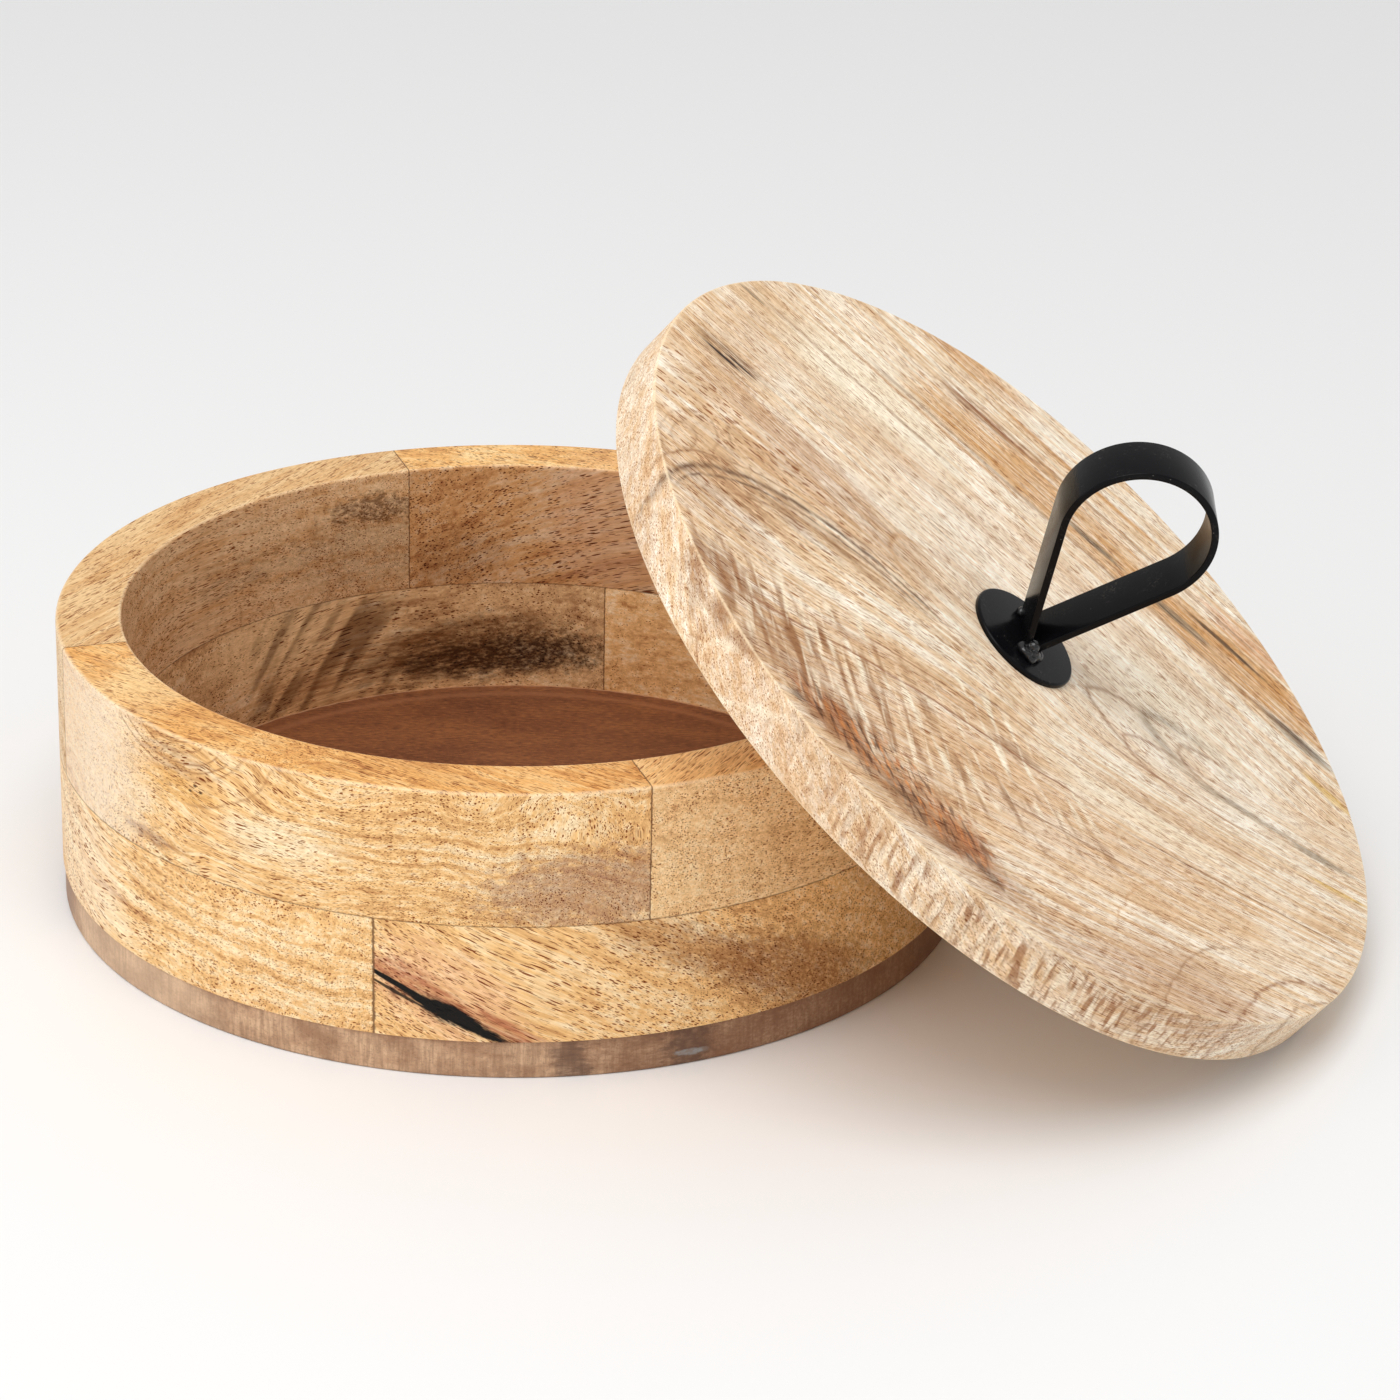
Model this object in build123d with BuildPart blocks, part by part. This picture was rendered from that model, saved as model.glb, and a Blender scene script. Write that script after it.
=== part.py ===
from build123d import *
from math import asin, cos, degrees, hypot, radians, sin
import os

os.makedirs("parts", exist_ok=True)

# A round lidded wooden box that stands open, with its lid taken off and leaning on the rim.
# The origin is the centre of the box's underside, +Z is up and the lid leans towards +X.

# The round box: a base board and two courses of curved blocks
box_diameter = 250.0
wall_thickness = 17.8
base_thickness = 10.6
base_inset = 0.5
base_edge_chamfer = 0.8
lower_course_height = 32.9
upper_course_height = 37.2
rim_chamfer = 0.9

# Each course is four blocks glued end to end, and the joints of one course miss the other's.
# The angles are those of the butt joints, counted from +X.
lower_joint_angles = [78.0, 167.0, 255.6, 347.0]
upper_joint_angles = [109.2, 197.1, 288.4, 378.0]
block_places = ["back_left", "front_left", "front_right", "back_right"]

# The lid: a board with a thinner disc glued beneath it, which drops into the box
lid_thickness = 16.0
lid_edge_chamfer = 0.5
locating_thickness = 5.5
locating_play = 1.5
locating_edge_chamfer = 1.2

# How the lid leans: its low edge stands on the table and its underside lies on the rim
lean_angle = 40.2
lean_bearing = -16.3
lean_aside = 6.4
seat_gap = 0.3

# The handle: a flat iron strip bent into a teardrop and welded to a round plate
plate_diameter = 33.0
plate_thickness = 1.5
plate_edge_chamfer = 0.5
strip_width = 14.6
strip_thickness = 2.0
strip_edge_chamfer = 0.3
loop_height = 66.4
loop_outer_radius = 20.9
loop_lean = 2.0
handle_turn = 22.7

# The weld beads at the two ends of the strip's foot, each of a few overlapping puddles.
# A puddle's section is its radius and height, and its place is across the foot and up it,
# all in shares of its radius.
weld_puddle_radius = 2.4
weld_puddle_section_shares = [(0, 0), (1, 0), (0.9, 0.6), (0.45, 1.0), (0, 1.1)]
weld_puddle_place_shares = [(-0.8, 0), (0.7, 0), (0.1, 0.9)]
weld_overhang_share = 0.25

# The fixing through the lid: a threaded stud under the plate, with a washer and a nut
stud_diameter = 6.0
stud_clearance = 0.25
washer_diameter_share = 2.6
washer_thickness_share = 0.2
nut_width_share = 1.65
nut_height_share = 0.82
stud_end_share = 0.2
thread_clearance = 0.15
nut_recess_clearance = 1.5
nut_sink = 1.6

# Sizes worked out from the ones above
box_radius = box_diameter / 2
inner_radius = box_radius - wall_thickness
wall_middle_radius = box_radius - wall_thickness / 2
seam_height = base_thickness + lower_course_height
box_height = seam_height + upper_course_height
lid_radius = box_radius
locating_radius = inner_radius - locating_play

washer_radius = stud_diameter * washer_diameter_share / 2
washer_thickness = stud_diameter * washer_thickness_share
nut_width = stud_diameter * nut_width_share
nut_height = stud_diameter * nut_height_share
stud_end = stud_diameter * stud_end_share
nut_recess_radius = washer_radius + nut_recess_clearance
nut_recess_depth = washer_thickness + nut_height + stud_end + nut_sink
washer_seat_height = nut_recess_depth - locating_thickness

# The lid's place: its low edge is a seat gap above the table, and the locating disc's face
# is a seat gap from the eased rim, measured square to the lid. Its lowest point is the foot
# of its lower chamfer, and the rim's reach is that of whichever edge of its chamfer is nearer.
lean_sine = sin(radians(lean_angle))
lean_cosine = cos(radians(lean_angle))
lean_way = Vector(1, 0, 0).rotate(Axis.Z, lean_bearing)
lean_across = Vector(0, 0, 1).cross(lean_way)
lid_normal = lean_way * lean_sine + Vector(0, 0, 1) * lean_cosine
lid_upslope = Vector(0, 0, 1) * lean_sine - lean_way * lean_cosine

lid_seat_height = seat_gap + (lid_radius - lid_edge_chamfer) * lean_sine
rim_reach = max(
    box_radius * lean_sine + (box_height - rim_chamfer) * lean_cosine,
    (box_radius - rim_chamfer) * lean_sine + box_height * lean_cosine,
)
lid_seat_distance = (
    rim_reach + seat_gap + locating_thickness - lid_seat_height * lean_cosine
) / lean_sine
lid_seat_centre = (
    lean_way * lid_seat_distance
    - lean_across * lean_aside
    + Vector(0, 0, 1) * lid_seat_height
)

# Planes of the lid and its handle, which the sketches below stand on.
# The underside plane is the lid board's lower face and its X axis points up the slope.
lid_under_plane = Plane(origin=lid_seat_centre, x_dir=lid_upslope, z_dir=lid_normal)
lid_top_plane = lid_under_plane.offset(lid_thickness)
plate_top_plane = lid_top_plane.offset(plate_thickness)

# The strip is drawn edge on: this plane's X axis runs across the teardrop and its Y axis
# is the lid's normal, so the strip's width runs along the plane's own normal.
lid_axis = Axis(lid_seat_centre, lid_normal)
strip_way = lid_upslope.rotate(lid_axis, handle_turn)
loop_plane = Plane(
    origin=plate_top_plane.origin, x_dir=strip_way, z_dir=strip_way.cross(lid_normal)
)


def radial_plane(angle):
    """Upright plane through the box's axis, with its X axis pointing out at the angle."""
    outward = Vector(1, 0, 0).rotate(Axis.Z, angle)
    return Plane(origin=(0, 0, 0), x_dir=outward, z_dir=outward.cross(Vector(0, 0, 1)))


def wall_block(start_angle, end_angle, bottom, height, top_chamfer):
    """One curved block of a course: the wall's section turned from joint to joint."""
    with BuildPart() as block:
        with BuildSketch(radial_plane(start_angle)) as section:
            with Locations((wall_middle_radius, bottom + height / 2)):
                Rectangle(wall_thickness, height)
            if top_chamfer > 0:
                chamfer(section.vertices().group_by(Axis.Y)[-1], top_chamfer)
        revolve(axis=Axis.Z, revolution_arc=end_angle - start_angle)
    return block.part


def wall_course(course, joint_angles, bottom, height, top_chamfer):
    """The blocks of one course, each written to its own file."""
    end_angles = joint_angles[1:] + [joint_angles[0] + 360]
    for place, start, end in zip(block_places, joint_angles, end_angles):
        block = wall_block(start, end, bottom, height, top_chamfer)
        block.label = f"{course}_block_{place}"
        export_step(block, f"parts/{block.label}.step")


# The base board, a round board glued under the wall and set in a little from it
with BuildPart() as base_board:
    with BuildSketch(Plane.XY):
        Circle(box_radius - base_inset)
    extrude(amount=base_thickness)
    chamfer(base_board.edges().group_by(Axis.Z)[0], base_edge_chamfer)
base_board.part.label = "base_board"
export_step(base_board.part, "parts/base_board.step")

# The wall, a lower course and an upper course with its rim eased by sanding
wall_course("lower", lower_joint_angles, base_thickness, lower_course_height, 0)
wall_course("upper", upper_joint_angles, seam_height, upper_course_height, rim_chamfer)

# The lid board, bored for the stud and recessed from below for the washer and nut
with BuildPart() as lid_board:
    with BuildSketch(lid_under_plane):
        Circle(lid_radius)
    extrude(amount=lid_thickness)
    chamfer(lid_board.edges(), lid_edge_chamfer)
    with BuildSketch(lid_under_plane):
        Circle(stud_diameter / 2 + stud_clearance)
    extrude(amount=lid_thickness, mode=Mode.SUBTRACT)
    with BuildSketch(lid_under_plane):
        Circle(nut_recess_radius)
    extrude(amount=washer_seat_height, mode=Mode.SUBTRACT)
lid_board.part.label = "lid_board"
export_step(lid_board.part, "parts/lid_board.step")

# The locating disc, glued under the board, with its lower edge eased to find the box
with BuildPart() as locating_disc:
    with BuildSketch(lid_under_plane):
        Circle(locating_radius)
    extrude(amount=-locating_thickness)
    chamfer(locating_disc.edges().sort_by(lid_axis)[0], locating_edge_chamfer)
    with BuildSketch(lid_under_plane):
        Circle(nut_recess_radius)
    extrude(amount=-locating_thickness, mode=Mode.SUBTRACT)
locating_disc.part.label = "locating_disc"
export_step(locating_disc.part, "parts/locating_disc.step")

# The handle's round plate, stamped with an eased upper edge
with BuildPart() as handle_plate:
    with BuildSketch(lid_top_plane):
        Circle(plate_diameter / 2)
    extrude(amount=plate_thickness)
    chamfer(handle_plate.edges().sort_by(lid_axis)[-1], plate_edge_chamfer)
handle_plate.part.label = "handle_plate"
export_step(handle_plate.part, "parts/handle_plate.step")

# The teardrop: two straight legs that leave one foot and run tangent into a round bow.
# Both of its faces share the bow's centre and the legs' opening, so the strip is even.
bow_middle_radius = loop_outer_radius - strip_thickness / 2
bow_centre_height = loop_height - loop_outer_radius
foot_sink = strip_thickness / 2
foot_to_bow = hypot(bow_centre_height + foot_sink, loop_lean)
leg_opening = degrees(asin(bow_middle_radius / foot_to_bow))
bow_centre = Vector(loop_lean, bow_centre_height)
foot_way = (Vector(0, -foot_sink) - bow_centre).normalized()


def teardrop(bow_radius):
    """The closed outline, drawn on XY, that runs round a bow of this radius."""
    foot = bow_centre + foot_way * (bow_radius / sin(radians(leg_opening)))
    left = bow_centre + foot_way.rotate(Axis.Z, leg_opening - 90) * bow_radius
    right = bow_centre + foot_way.rotate(Axis.Z, 90 - leg_opening) * bow_radius
    with BuildSketch() as outline:
        with BuildLine():
            Line(foot, left)
            ThreePointArc(left, bow_centre - foot_way * bow_radius, right)
            Line(right, foot)
        make_face()
    return outline.sketch_local


# The handle's flat strip, standing across the plate on its one narrow foot
with BuildPart() as handle_loop:
    with BuildSketch(loop_plane):
        add(teardrop(loop_outer_radius))
        add(teardrop(loop_outer_radius - strip_thickness), mode=Mode.SUBTRACT)
    extrude(amount=strip_width / 2, both=True)
    split(bisect_by=plate_top_plane, keep=Keep.TOP)
    strip_sides = handle_loop.faces().filter_by(Axis(lid_seat_centre, loop_plane.z_dir))
    foot_edges = handle_loop.faces().sort_by(lid_axis)[0].edges()
    chamfer(strip_sides.edges() - foot_edges, strip_edge_chamfer)
handle_loop.part.label = "handle_loop"
export_step(handle_loop.part, "parts/handle_loop.step")


def foot_weld(side):
    """Puddles of weld metal down one end of the strip's foot, run out onto the plate."""
    outward = side * (strip_width / 2 + weld_puddle_radius * weld_overhang_share)
    with BuildPart() as weld:
        for across_share, up_share in weld_puddle_place_shares:
            foot = (weld_puddle_radius * across_share, weld_puddle_radius * up_share, outward)
            puddle_plane = Plane(
                origin=loop_plane.from_local_coords(foot),
                x_dir=loop_plane.x_dir,
                z_dir=loop_plane.z_dir,
            )
            with BuildSketch(puddle_plane):
                with BuildLine():
                    Polyline(
                        *[
                            (weld_puddle_radius * out_share, weld_puddle_radius * rise_share)
                            for out_share, rise_share in weld_puddle_section_shares
                        ],
                        close=True,
                    )
                make_face()
            revolve(axis=Axis(puddle_plane.origin, lid_normal))
        add(handle_loop.part, mode=Mode.SUBTRACT)
    return weld.part


for name, side in [("front_weld", -1), ("back_weld", 1)]:
    weld = foot_weld(side)
    weld.label = name
    export_step(weld, f"parts/{name}.step")

# The threaded stud, welded under the plate, that passes through the lid board
washer_plane = lid_under_plane.offset(washer_seat_height)
nut_plane = washer_plane.offset(-washer_thickness)
stud_length = lid_thickness - washer_seat_height + washer_thickness + nut_height + stud_end
with BuildPart() as handle_stud:
    with BuildSketch(lid_top_plane):
        Circle(stud_diameter / 2)
    extrude(amount=-stud_length)
    chamfer(handle_stud.edges().sort_by(lid_axis)[0], stud_end / 2)
handle_stud.part.label = "handle_stud"
export_step(handle_stud.part, "parts/handle_stud.step")

# The washer, which spreads the nut's pull at the bottom of the recess
with BuildPart() as washer:
    with BuildSketch(washer_plane):
        Circle(washer_radius)
        Circle(stud_diameter / 2 + stud_clearance, mode=Mode.SUBTRACT)
    extrude(amount=-washer_thickness)
washer.part.label = "washer"
export_step(washer.part, "parts/washer.step")

# The hexagon nut that draws the handle down onto the lid
with BuildPart() as hex_nut:
    with BuildSketch(nut_plane):
        RegularPolygon(nut_width / 2, side_count=6, major_radius=False)
    extrude(amount=-nut_height)
    chamfer(hex_nut.edges().group_by(lid_axis)[0], stud_end / 4)
    with BuildSketch(nut_plane):
        Circle(stud_diameter / 2 + thread_clearance)
    extrude(amount=-nut_height, mode=Mode.SUBTRACT)
hex_nut.part.label = "hex_nut"
export_step(hex_nut.part, "parts/hex_nut.step")
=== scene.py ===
# %% [markdown]
# # A round mango wood box with its lid leaning on the rim
# The real box is a thick round wall glued up from curved blocks on a stained base board. Its
# lid is one pale board with a black iron handle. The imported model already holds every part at
# its place, so this file only gives each part its finer surface and its finish.

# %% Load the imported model
from collections import defaultdict
from math import cos, pi, radians, sin

import bmesh
import bpy
import numpy as np
from mathutils import Matrix, Vector


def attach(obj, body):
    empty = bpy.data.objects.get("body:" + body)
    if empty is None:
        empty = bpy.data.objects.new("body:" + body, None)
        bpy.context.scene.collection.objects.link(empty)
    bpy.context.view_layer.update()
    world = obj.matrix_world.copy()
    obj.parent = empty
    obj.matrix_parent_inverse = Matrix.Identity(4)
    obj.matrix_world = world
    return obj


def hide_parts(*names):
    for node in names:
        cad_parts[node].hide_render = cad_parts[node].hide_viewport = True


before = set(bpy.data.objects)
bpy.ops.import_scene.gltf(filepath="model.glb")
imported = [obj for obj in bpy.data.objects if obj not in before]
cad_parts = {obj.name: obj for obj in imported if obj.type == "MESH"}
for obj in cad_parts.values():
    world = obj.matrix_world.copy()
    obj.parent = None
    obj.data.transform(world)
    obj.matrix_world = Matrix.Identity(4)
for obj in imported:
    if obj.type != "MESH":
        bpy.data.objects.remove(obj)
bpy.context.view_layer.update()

# %% [markdown]
# ## The sizes
# A turner would mark the sizes on a stick before cutting anything. They are the same ones that
# the solids use, in metres, so that each surface lies where its solid lies.

# %% Sizes of the box, the lid and the handle
mm = 0.001
box_radius, wall_thickness = 125 * mm, 17.8 * mm
base_thickness, base_inset, base_rounding = 10.6 * mm, 0.5 * mm, 0.8 * mm
seam_height, box_height, rim_rounding = 43.5 * mm, 80.7 * mm, 0.9 * mm
inner_radius = box_radius - wall_thickness
lower_joints = [78.0, 167.0, 255.6, 347.0]
upper_joints = [109.2, 197.1, 288.4, 378.0]
block_places = ["back_left", "front_left", "front_right", "back_right"]

lid_radius, lid_thickness, lid_rounding = 125 * mm, 16 * mm, 0.5 * mm
disc_radius, disc_thickness = inner_radius - 1.5 * mm, 5.5 * mm
plate_radius, plate_thickness = 16.5 * mm, 1.5 * mm
strip_width, strip_thickness, strip_rounding = 14.6 * mm, 2.0 * mm, 0.35 * mm
loop_height, bow_radius, loop_lean = 66.4 * mm, 20.9 * mm, 2.0 * mm
stud_radius, hole_radius, stud_end = 3 * mm, 3.25 * mm, 1.2 * mm
washer_radius, washer_thickness = 7.8 * mm, 1.2 * mm
nut_flat, nut_height = 4.95 * mm, 4.92 * mm
recess_radius = washer_radius + 1.5 * mm
washer_seat = washer_thickness + nut_height + stud_end + 1.6 * mm - disc_thickness
print("box", 2 * box_radius, "across,", box_height, "high; washer seat at", round(washer_seat, 5))

# %% [markdown]
# ## Where the lid leans
# The lid stands on its low edge and lies on the rim, each with a gap of 0.3 mm. Its frame could
# be read off a solid, but the two contacts give it exactly. Everything on the lid is then drawn
# as if the lid lay flat at the origin, and one matrix puts it in its place.

# %% The lid's frame and the handle's frame
lean, bearing, seat_gap, aside = radians(40.2), radians(-16.3), 0.3 * mm, 6.4 * mm
lean_way = Vector((cos(bearing), sin(bearing), 0))
lid_normal = lean_way * sin(lean) + Vector((0, 0, cos(lean)))
upslope = Vector((0, 0, sin(lean))) - lean_way * cos(lean)
lid_height = seat_gap + (lid_radius - lid_rounding) * sin(lean)
rim_reach = max(
    box_radius * sin(lean) + (box_height - rim_rounding) * cos(lean),
    (box_radius - rim_rounding) * sin(lean) + box_height * cos(lean),
)
lid_distance = (rim_reach + seat_gap + disc_thickness - lid_height * cos(lean)) / sin(lean)
lid_centre = (
    lean_way * lid_distance
    - Vector((0, 0, 1)).cross(lean_way) * aside
    + Vector((0, 0, lid_height))
)


def axes_matrix(x_axis, z_axis, origin):
    """Matrix whose columns are an x axis, the axis square to it and z, a z axis and a place."""
    columns = Matrix((x_axis, z_axis.cross(x_axis), z_axis)).transposed()
    return Matrix.Translation(origin) @ columns.to_4x4()


lid_frame = axes_matrix(upslope, lid_normal, lid_centre)
strip_way = Matrix.Rotation(radians(22.7), 3, lid_normal) @ upslope
handle_foot = lid_centre + lid_normal * (lid_thickness + plate_thickness)
handle_frame = axes_matrix(strip_way, strip_way.cross(lid_normal), handle_foot)
print("lid centre", [round(v, 5) for v in lid_centre], "normal", [round(v, 4) for v in lid_normal])

# %% [markdown]
# ## The camera
# The photograph was taken from a little above with a long lens, so the rim is a narrow ellipse
# and its far side is hardly smaller than its near side. Such a camera could be turned by hand
# until things fit; here its place, tilt and lens were worked out from the outlines of the box
# and the lid. Its slight roll is a camera that stood a little out of level.

# %% Camera
camera_data = bpy.data.cameras.new("camera")
camera_data.sensor_width, camera_data.lens = 36, 130.89
camera_data.clip_start, camera_data.clip_end = 0.05, 20
camera = bpy.data.objects.new("camera", camera_data)
bpy.context.scene.collection.objects.link(camera)
tilt, roll = 0.4088, 0.0208
level_up = Vector((0, sin(tilt), cos(tilt)))
camera_right = Vector((1, 0, 0)) * cos(roll) + level_up * sin(roll)
camera_up = level_up * cos(roll) - Vector((1, 0, 0)) * sin(roll)
camera.matrix_world = axes_matrix(
    camera_right, camera_right.cross(camera_up), Vector((0.05106, -1.28826, 0.6115))
)
bpy.context.scene.camera = camera
bpy.context.scene.view_settings.view_transform = "Standard"
print("camera at", [round(v, 4) for v in camera.matrix_world.translation])

# %% [markdown]
# ## Light and floor
# The photograph has bright soft studio light and a white table that throws light back up at
# the wall. A pale world gives the even part, a large lamp above the left shoulder models the
# wood softly, and the floor is a plain pale sheet that keeps the shadow.

# %% Lamps
def soft_lamp(name, place, target, size, power):
    """Square lamp at a place that faces a target."""
    data = bpy.data.lights.new(name, "AREA")
    data.size, data.energy = size, power
    lamp = bpy.data.objects.new(name, data)
    bpy.context.scene.collection.objects.link(lamp)
    lamp.location = place
    lamp.rotation_euler = (Vector(target) - Vector(place)).to_track_quat("-Z", "Y").to_euler()


soft_lamp("key_lamp", (-0.25, -0.8, 1.9), (0.05, -0.03, 0.05), 1.5, 24)
soft_lamp("side_lamp", (-1.6, -1.0, 0.8), (0.03, -0.03, 0.06), 0.9, 5)

# %% World and floor
world = bpy.data.worlds.new("studio")
world.use_nodes = True
bpy.context.scene.world = world
world.node_tree.nodes["Background"].inputs["Color"].default_value = (1, 1, 1, 1)
world.node_tree.nodes["Background"].inputs["Strength"].default_value = 0.65

floor_material = bpy.data.materials.new("pale_floor")
floor_material.use_nodes = True
floor_shader = floor_material.node_tree.nodes["Principled BSDF"]
floor_shader.inputs["Base Color"].default_value = (0.85, 0.85, 0.85, 1)
floor_shader.inputs["Roughness"].default_value = 0.5
floor_shader.inputs["Specular IOR Level"].default_value = 0.3

floor_data = bpy.data.meshes.new("floor")
floor_reach = 6.0
floor_corners = [(-1, -1), (1, -1), (1, 1), (-1, 1)]
floor_data.from_pydata(
    [(x * floor_reach, y * floor_reach, 0) for x, y in floor_corners], [], [(0, 1, 2, 3)]
)
floor_data.materials.append(floor_material)
floor = bpy.data.objects.new("floor", floor_data)
bpy.context.scene.collection.objects.link(floor)
print("floor", 2 * floor_reach, "across")

# %% [markdown]
# ## Making a surface from numbers
# Nearly every part of this box was turned on a lathe or bent along a curve, so each one is an
# outline carried along a path. Edges modelled by hand rarely meet exactly. Here a whole grid of
# points is worked out at once, and one helper makes every mesh from such a grid.

# %% An outline with rounded corners
def rounded_outline(corners, radii, steps=8):
    """Outline with each corner replaced by an arc that touches both of the corner's sides.

    The arc's centre lies on the corner's bisector, at the radius over the sine of half the
    angle. The arc's points are the two touching directions, blended by the sines of the parts
    of the turn that lie ahead and behind.
    """
    corner = np.array(corners, float)
    radius = np.broadcast_to(np.array(radii, float), len(corner))[:, None]
    back = np.roll(corner, 1, axis=0) - corner
    ahead = np.roll(corner, -1, axis=0) - corner
    back /= np.linalg.norm(back, axis=1, keepdims=True)
    ahead /= np.linalg.norm(ahead, axis=1, keepdims=True)
    half = np.arccos((back * ahead).sum(axis=1, keepdims=True)) / 2
    middle = (back + ahead) / np.linalg.norm(back + ahead, axis=1, keepdims=True)
    centre = corner + middle * radius / np.sin(half)
    first = corner + back * radius / np.tan(half) - centre
    last = corner + ahead * radius / np.tan(half) - centre
    turn = (pi - 2 * half)[:, None]
    share = np.linspace(0, 1, steps)[None, :, None]
    arc = np.sin((1 - share) * turn) * first[:, None] + np.sin(share * turn) * last[:, None]
    return (centre[:, None] + arc / np.sin(turn)).reshape(-1, 2)


def ring_section(inner, outer, bottom, top, radii, steps=8):
    """Rounded section of a ring, a disc or a strip, from its inner bottom corner onwards."""
    corners = [(inner, bottom), (outer, bottom), (outer, top), (inner, top)]
    return rounded_outline(corners, radii, steps)


print("rounded square", ring_section(0, 1, 0, 1, 0.1, 3).round(3)[:3])

# %% From a grid of points to a closed mesh
weld_distance, crease_angle = 2e-7, radians(38)


def grid_faces(number, loop_rows, loop_columns):
    """Four point numbers a face, for a grid whose rows and columns may close on themselves."""
    number = np.vstack([number, number[:1]]) if loop_rows else number
    number = np.hstack([number, number[:, :1]]) if loop_columns else number
    corners = [number[:-1, :-1], number[1:, :-1], number[1:, 1:], number[:-1, 1:]]
    return np.stack(corners, axis=-1).reshape(-1, 4).tolist()


def surface(name, grid, material, loop_rows=False, loop_columns=False,
            matrix=Matrix.Identity(4), ends=False):
    """Piece made from a grid of points, with merged poles and its faces turned outwards."""
    grid = np.asarray(grid, float) @ np.array(matrix.to_3x3()).T + np.array(matrix.translation)
    number = np.arange(grid.shape[0] * grid.shape[1]).reshape(grid.shape[:2])
    faces = grid_faces(number, loop_rows, loop_columns)
    if ends:
        faces += [number[0].tolist(), number[-1][::-1].tolist()]
    mesh = bpy.data.meshes.new(name)
    mesh.from_pydata(grid.reshape(-1, 3).tolist(), [], faces)
    shell = bmesh.new()
    shell.from_mesh(mesh)
    bmesh.ops.remove_doubles(shell, verts=shell.verts, dist=weld_distance)
    bmesh.ops.recalc_face_normals(shell, faces=shell.faces)
    open_edges = sum(not edge.is_manifold for edge in shell.edges)
    shell.to_mesh(mesh)
    shell.free()
    mesh.shade_smooth()
    mesh.set_sharp_from_angle(angle=crease_angle)
    mesh.materials.append(material)
    piece = bpy.data.objects.new(name, mesh)
    bpy.context.scene.collection.objects.link(piece)
    print(name, len(mesh.polygons), "faces,", open_edges, "open edges")
    return piece

# %% A lathe
def turned(outline, angles):
    """Grid of an outline of radii and heights, turned about the upright axis."""
    radius, height = outline[:, 0], outline[:, 1]
    angle = np.asarray(angles, float)[:, None]
    return np.stack(
        [radius * np.cos(angle), radius * np.sin(angle), height + 0 * angle], axis=-1
    )


full_turn = np.linspace(0, 2 * pi, 480, endpoint=False)


def belongs(piece, body, slot, *nodes):
    """The piece rides on a body and stands for its solids, which it hides. The slot is not used."""
    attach(piece, body)
    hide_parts(*nodes)


print("full turn in", len(full_turn), "steps")

# %% [markdown]
# ## Short ways to lay shader nodes
# A finish is a small network: a place on the board goes in, and colours, roughness and bumps
# come out. Laying nodes one call at a time hides the recipe. So here an output of a node is a
# wire, and a sum written with wires lays the nodes that work it out. A recipe then reads like
# arithmetic, and a recipe that is needed often becomes a node group.

# %% Wires, and the sums on them
class Wire:
    """An output of a node. A sum written with wires lays nodes that work it out."""

    def __init__(self, socket):
        self.socket = socket

    def __add__(self, other):
        return calc("ADD", self, other)

    def __sub__(self, other):
        return calc("SUBTRACT", self, other)

    def __rsub__(self, other):
        return calc("SUBTRACT", other, self)

    def __mul__(self, other):
        return calc("MULTIPLY", self, other)

    def __truediv__(self, other):
        return calc("DIVIDE", self, other)

    def __rtruediv__(self, other):
        return calc("DIVIDE", other, self)


def fill(node, sockets):
    """Give each input a value or a wire, and hand back the outputs by number and by name."""
    for label, value in sockets.items():
        if isinstance(value, Wire):
            node.id_data.links.new(value.socket, node.inputs[label])
        else:
            node.inputs[label].default_value = value
    return {label: Wire(socket) for number, socket in enumerate(node.outputs)
            for label in (number, socket.name)}


def put(kind, sockets, **settings):
    """Add a node of a kind to the tree that its wires come from."""
    tree = next(value.socket.id_data for value in sockets.values() if isinstance(value, Wire))
    node = tree.nodes.new("ShaderNode" + kind)
    for setting, value in settings.items():
        setattr(node, setting, value)
    return fill(node, sockets)


def calc(operation, *values):
    """One step of arithmetic: on places or colours if one is among the values, else on numbers."""
    wide = any(isinstance(value, tuple) or isinstance(value, Wire) and value.socket.type != "VALUE"
               for value in values)
    kind = "VectorMath" if wide else "Math"
    return put(kind, dict(enumerate(values)), operation=operation)[0]


print("wires can be added, subtracted, multiplied and divided")

# %% Node helpers
def join(x, y, z):
    """A place from its three parts."""
    return put("CombineXYZ", {0: x, 1: y, 2: z})[0]


def split(place):
    """The three parts of a place."""
    parts = put("SeparateXYZ", {0: place})
    return parts[0], parts[1], parts[2]


def length(place):
    """Distance of a place from the origin."""
    return put("VectorMath", {0: place}, operation="LENGTH")["Value"]


def from_axis(place):
    """Distance of a place from the upright axis."""
    x, y, _ = split(place)
    return length(join(x, y, 0.0))


def bell(offset):
    """One in the middle of a line, falling off on both sides: e to the minus offset squared."""
    return calc("EXPONENT", offset * offset * -1.0)


def span(value, low, high, to_low=0.0, to_high=1.0, kind="SMOOTHSTEP"):
    """Carry a value from one range into another, with soft ends unless told otherwise."""
    sockets = {"Value": value, 1: low, 2: high, 3: to_low, 4: to_high}
    return put("MapRange", sockets, interpolation_type=kind)[0]


def cloud(place, stretch, detail=2.0, rough=0.5, seed=(0, 0, 0), output=0):
    """Soft noise from 0 to 1 whose blobs have the given sizes along the three axes."""
    scaled = calc("MULTIPLY_ADD", place, tuple(1 / size for size in stretch), seed)
    sockets = {"Vector": scaled, "Scale": 1.0, "Detail": detail, "Roughness": rough}
    return put("TexNoise", sockets)[output]


def blend(amount, first, second, kind="MIX"):
    """Mix two colours by an amount."""
    return put("Mix", {0: amount, 6: first, 7: second}, data_type="RGBA", blend_type=kind)[2]


def layered(colour, *layers):
    """Lay tones over a colour one after the other, each by its own amount."""
    for amount, tone in layers:
        colour = blend(amount, colour, tone)
    return colour


def shaded(colour, tone):
    """A colour multiplied by a tone."""
    return blend(1.0, colour, tone, "MULTIPLY")


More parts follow.
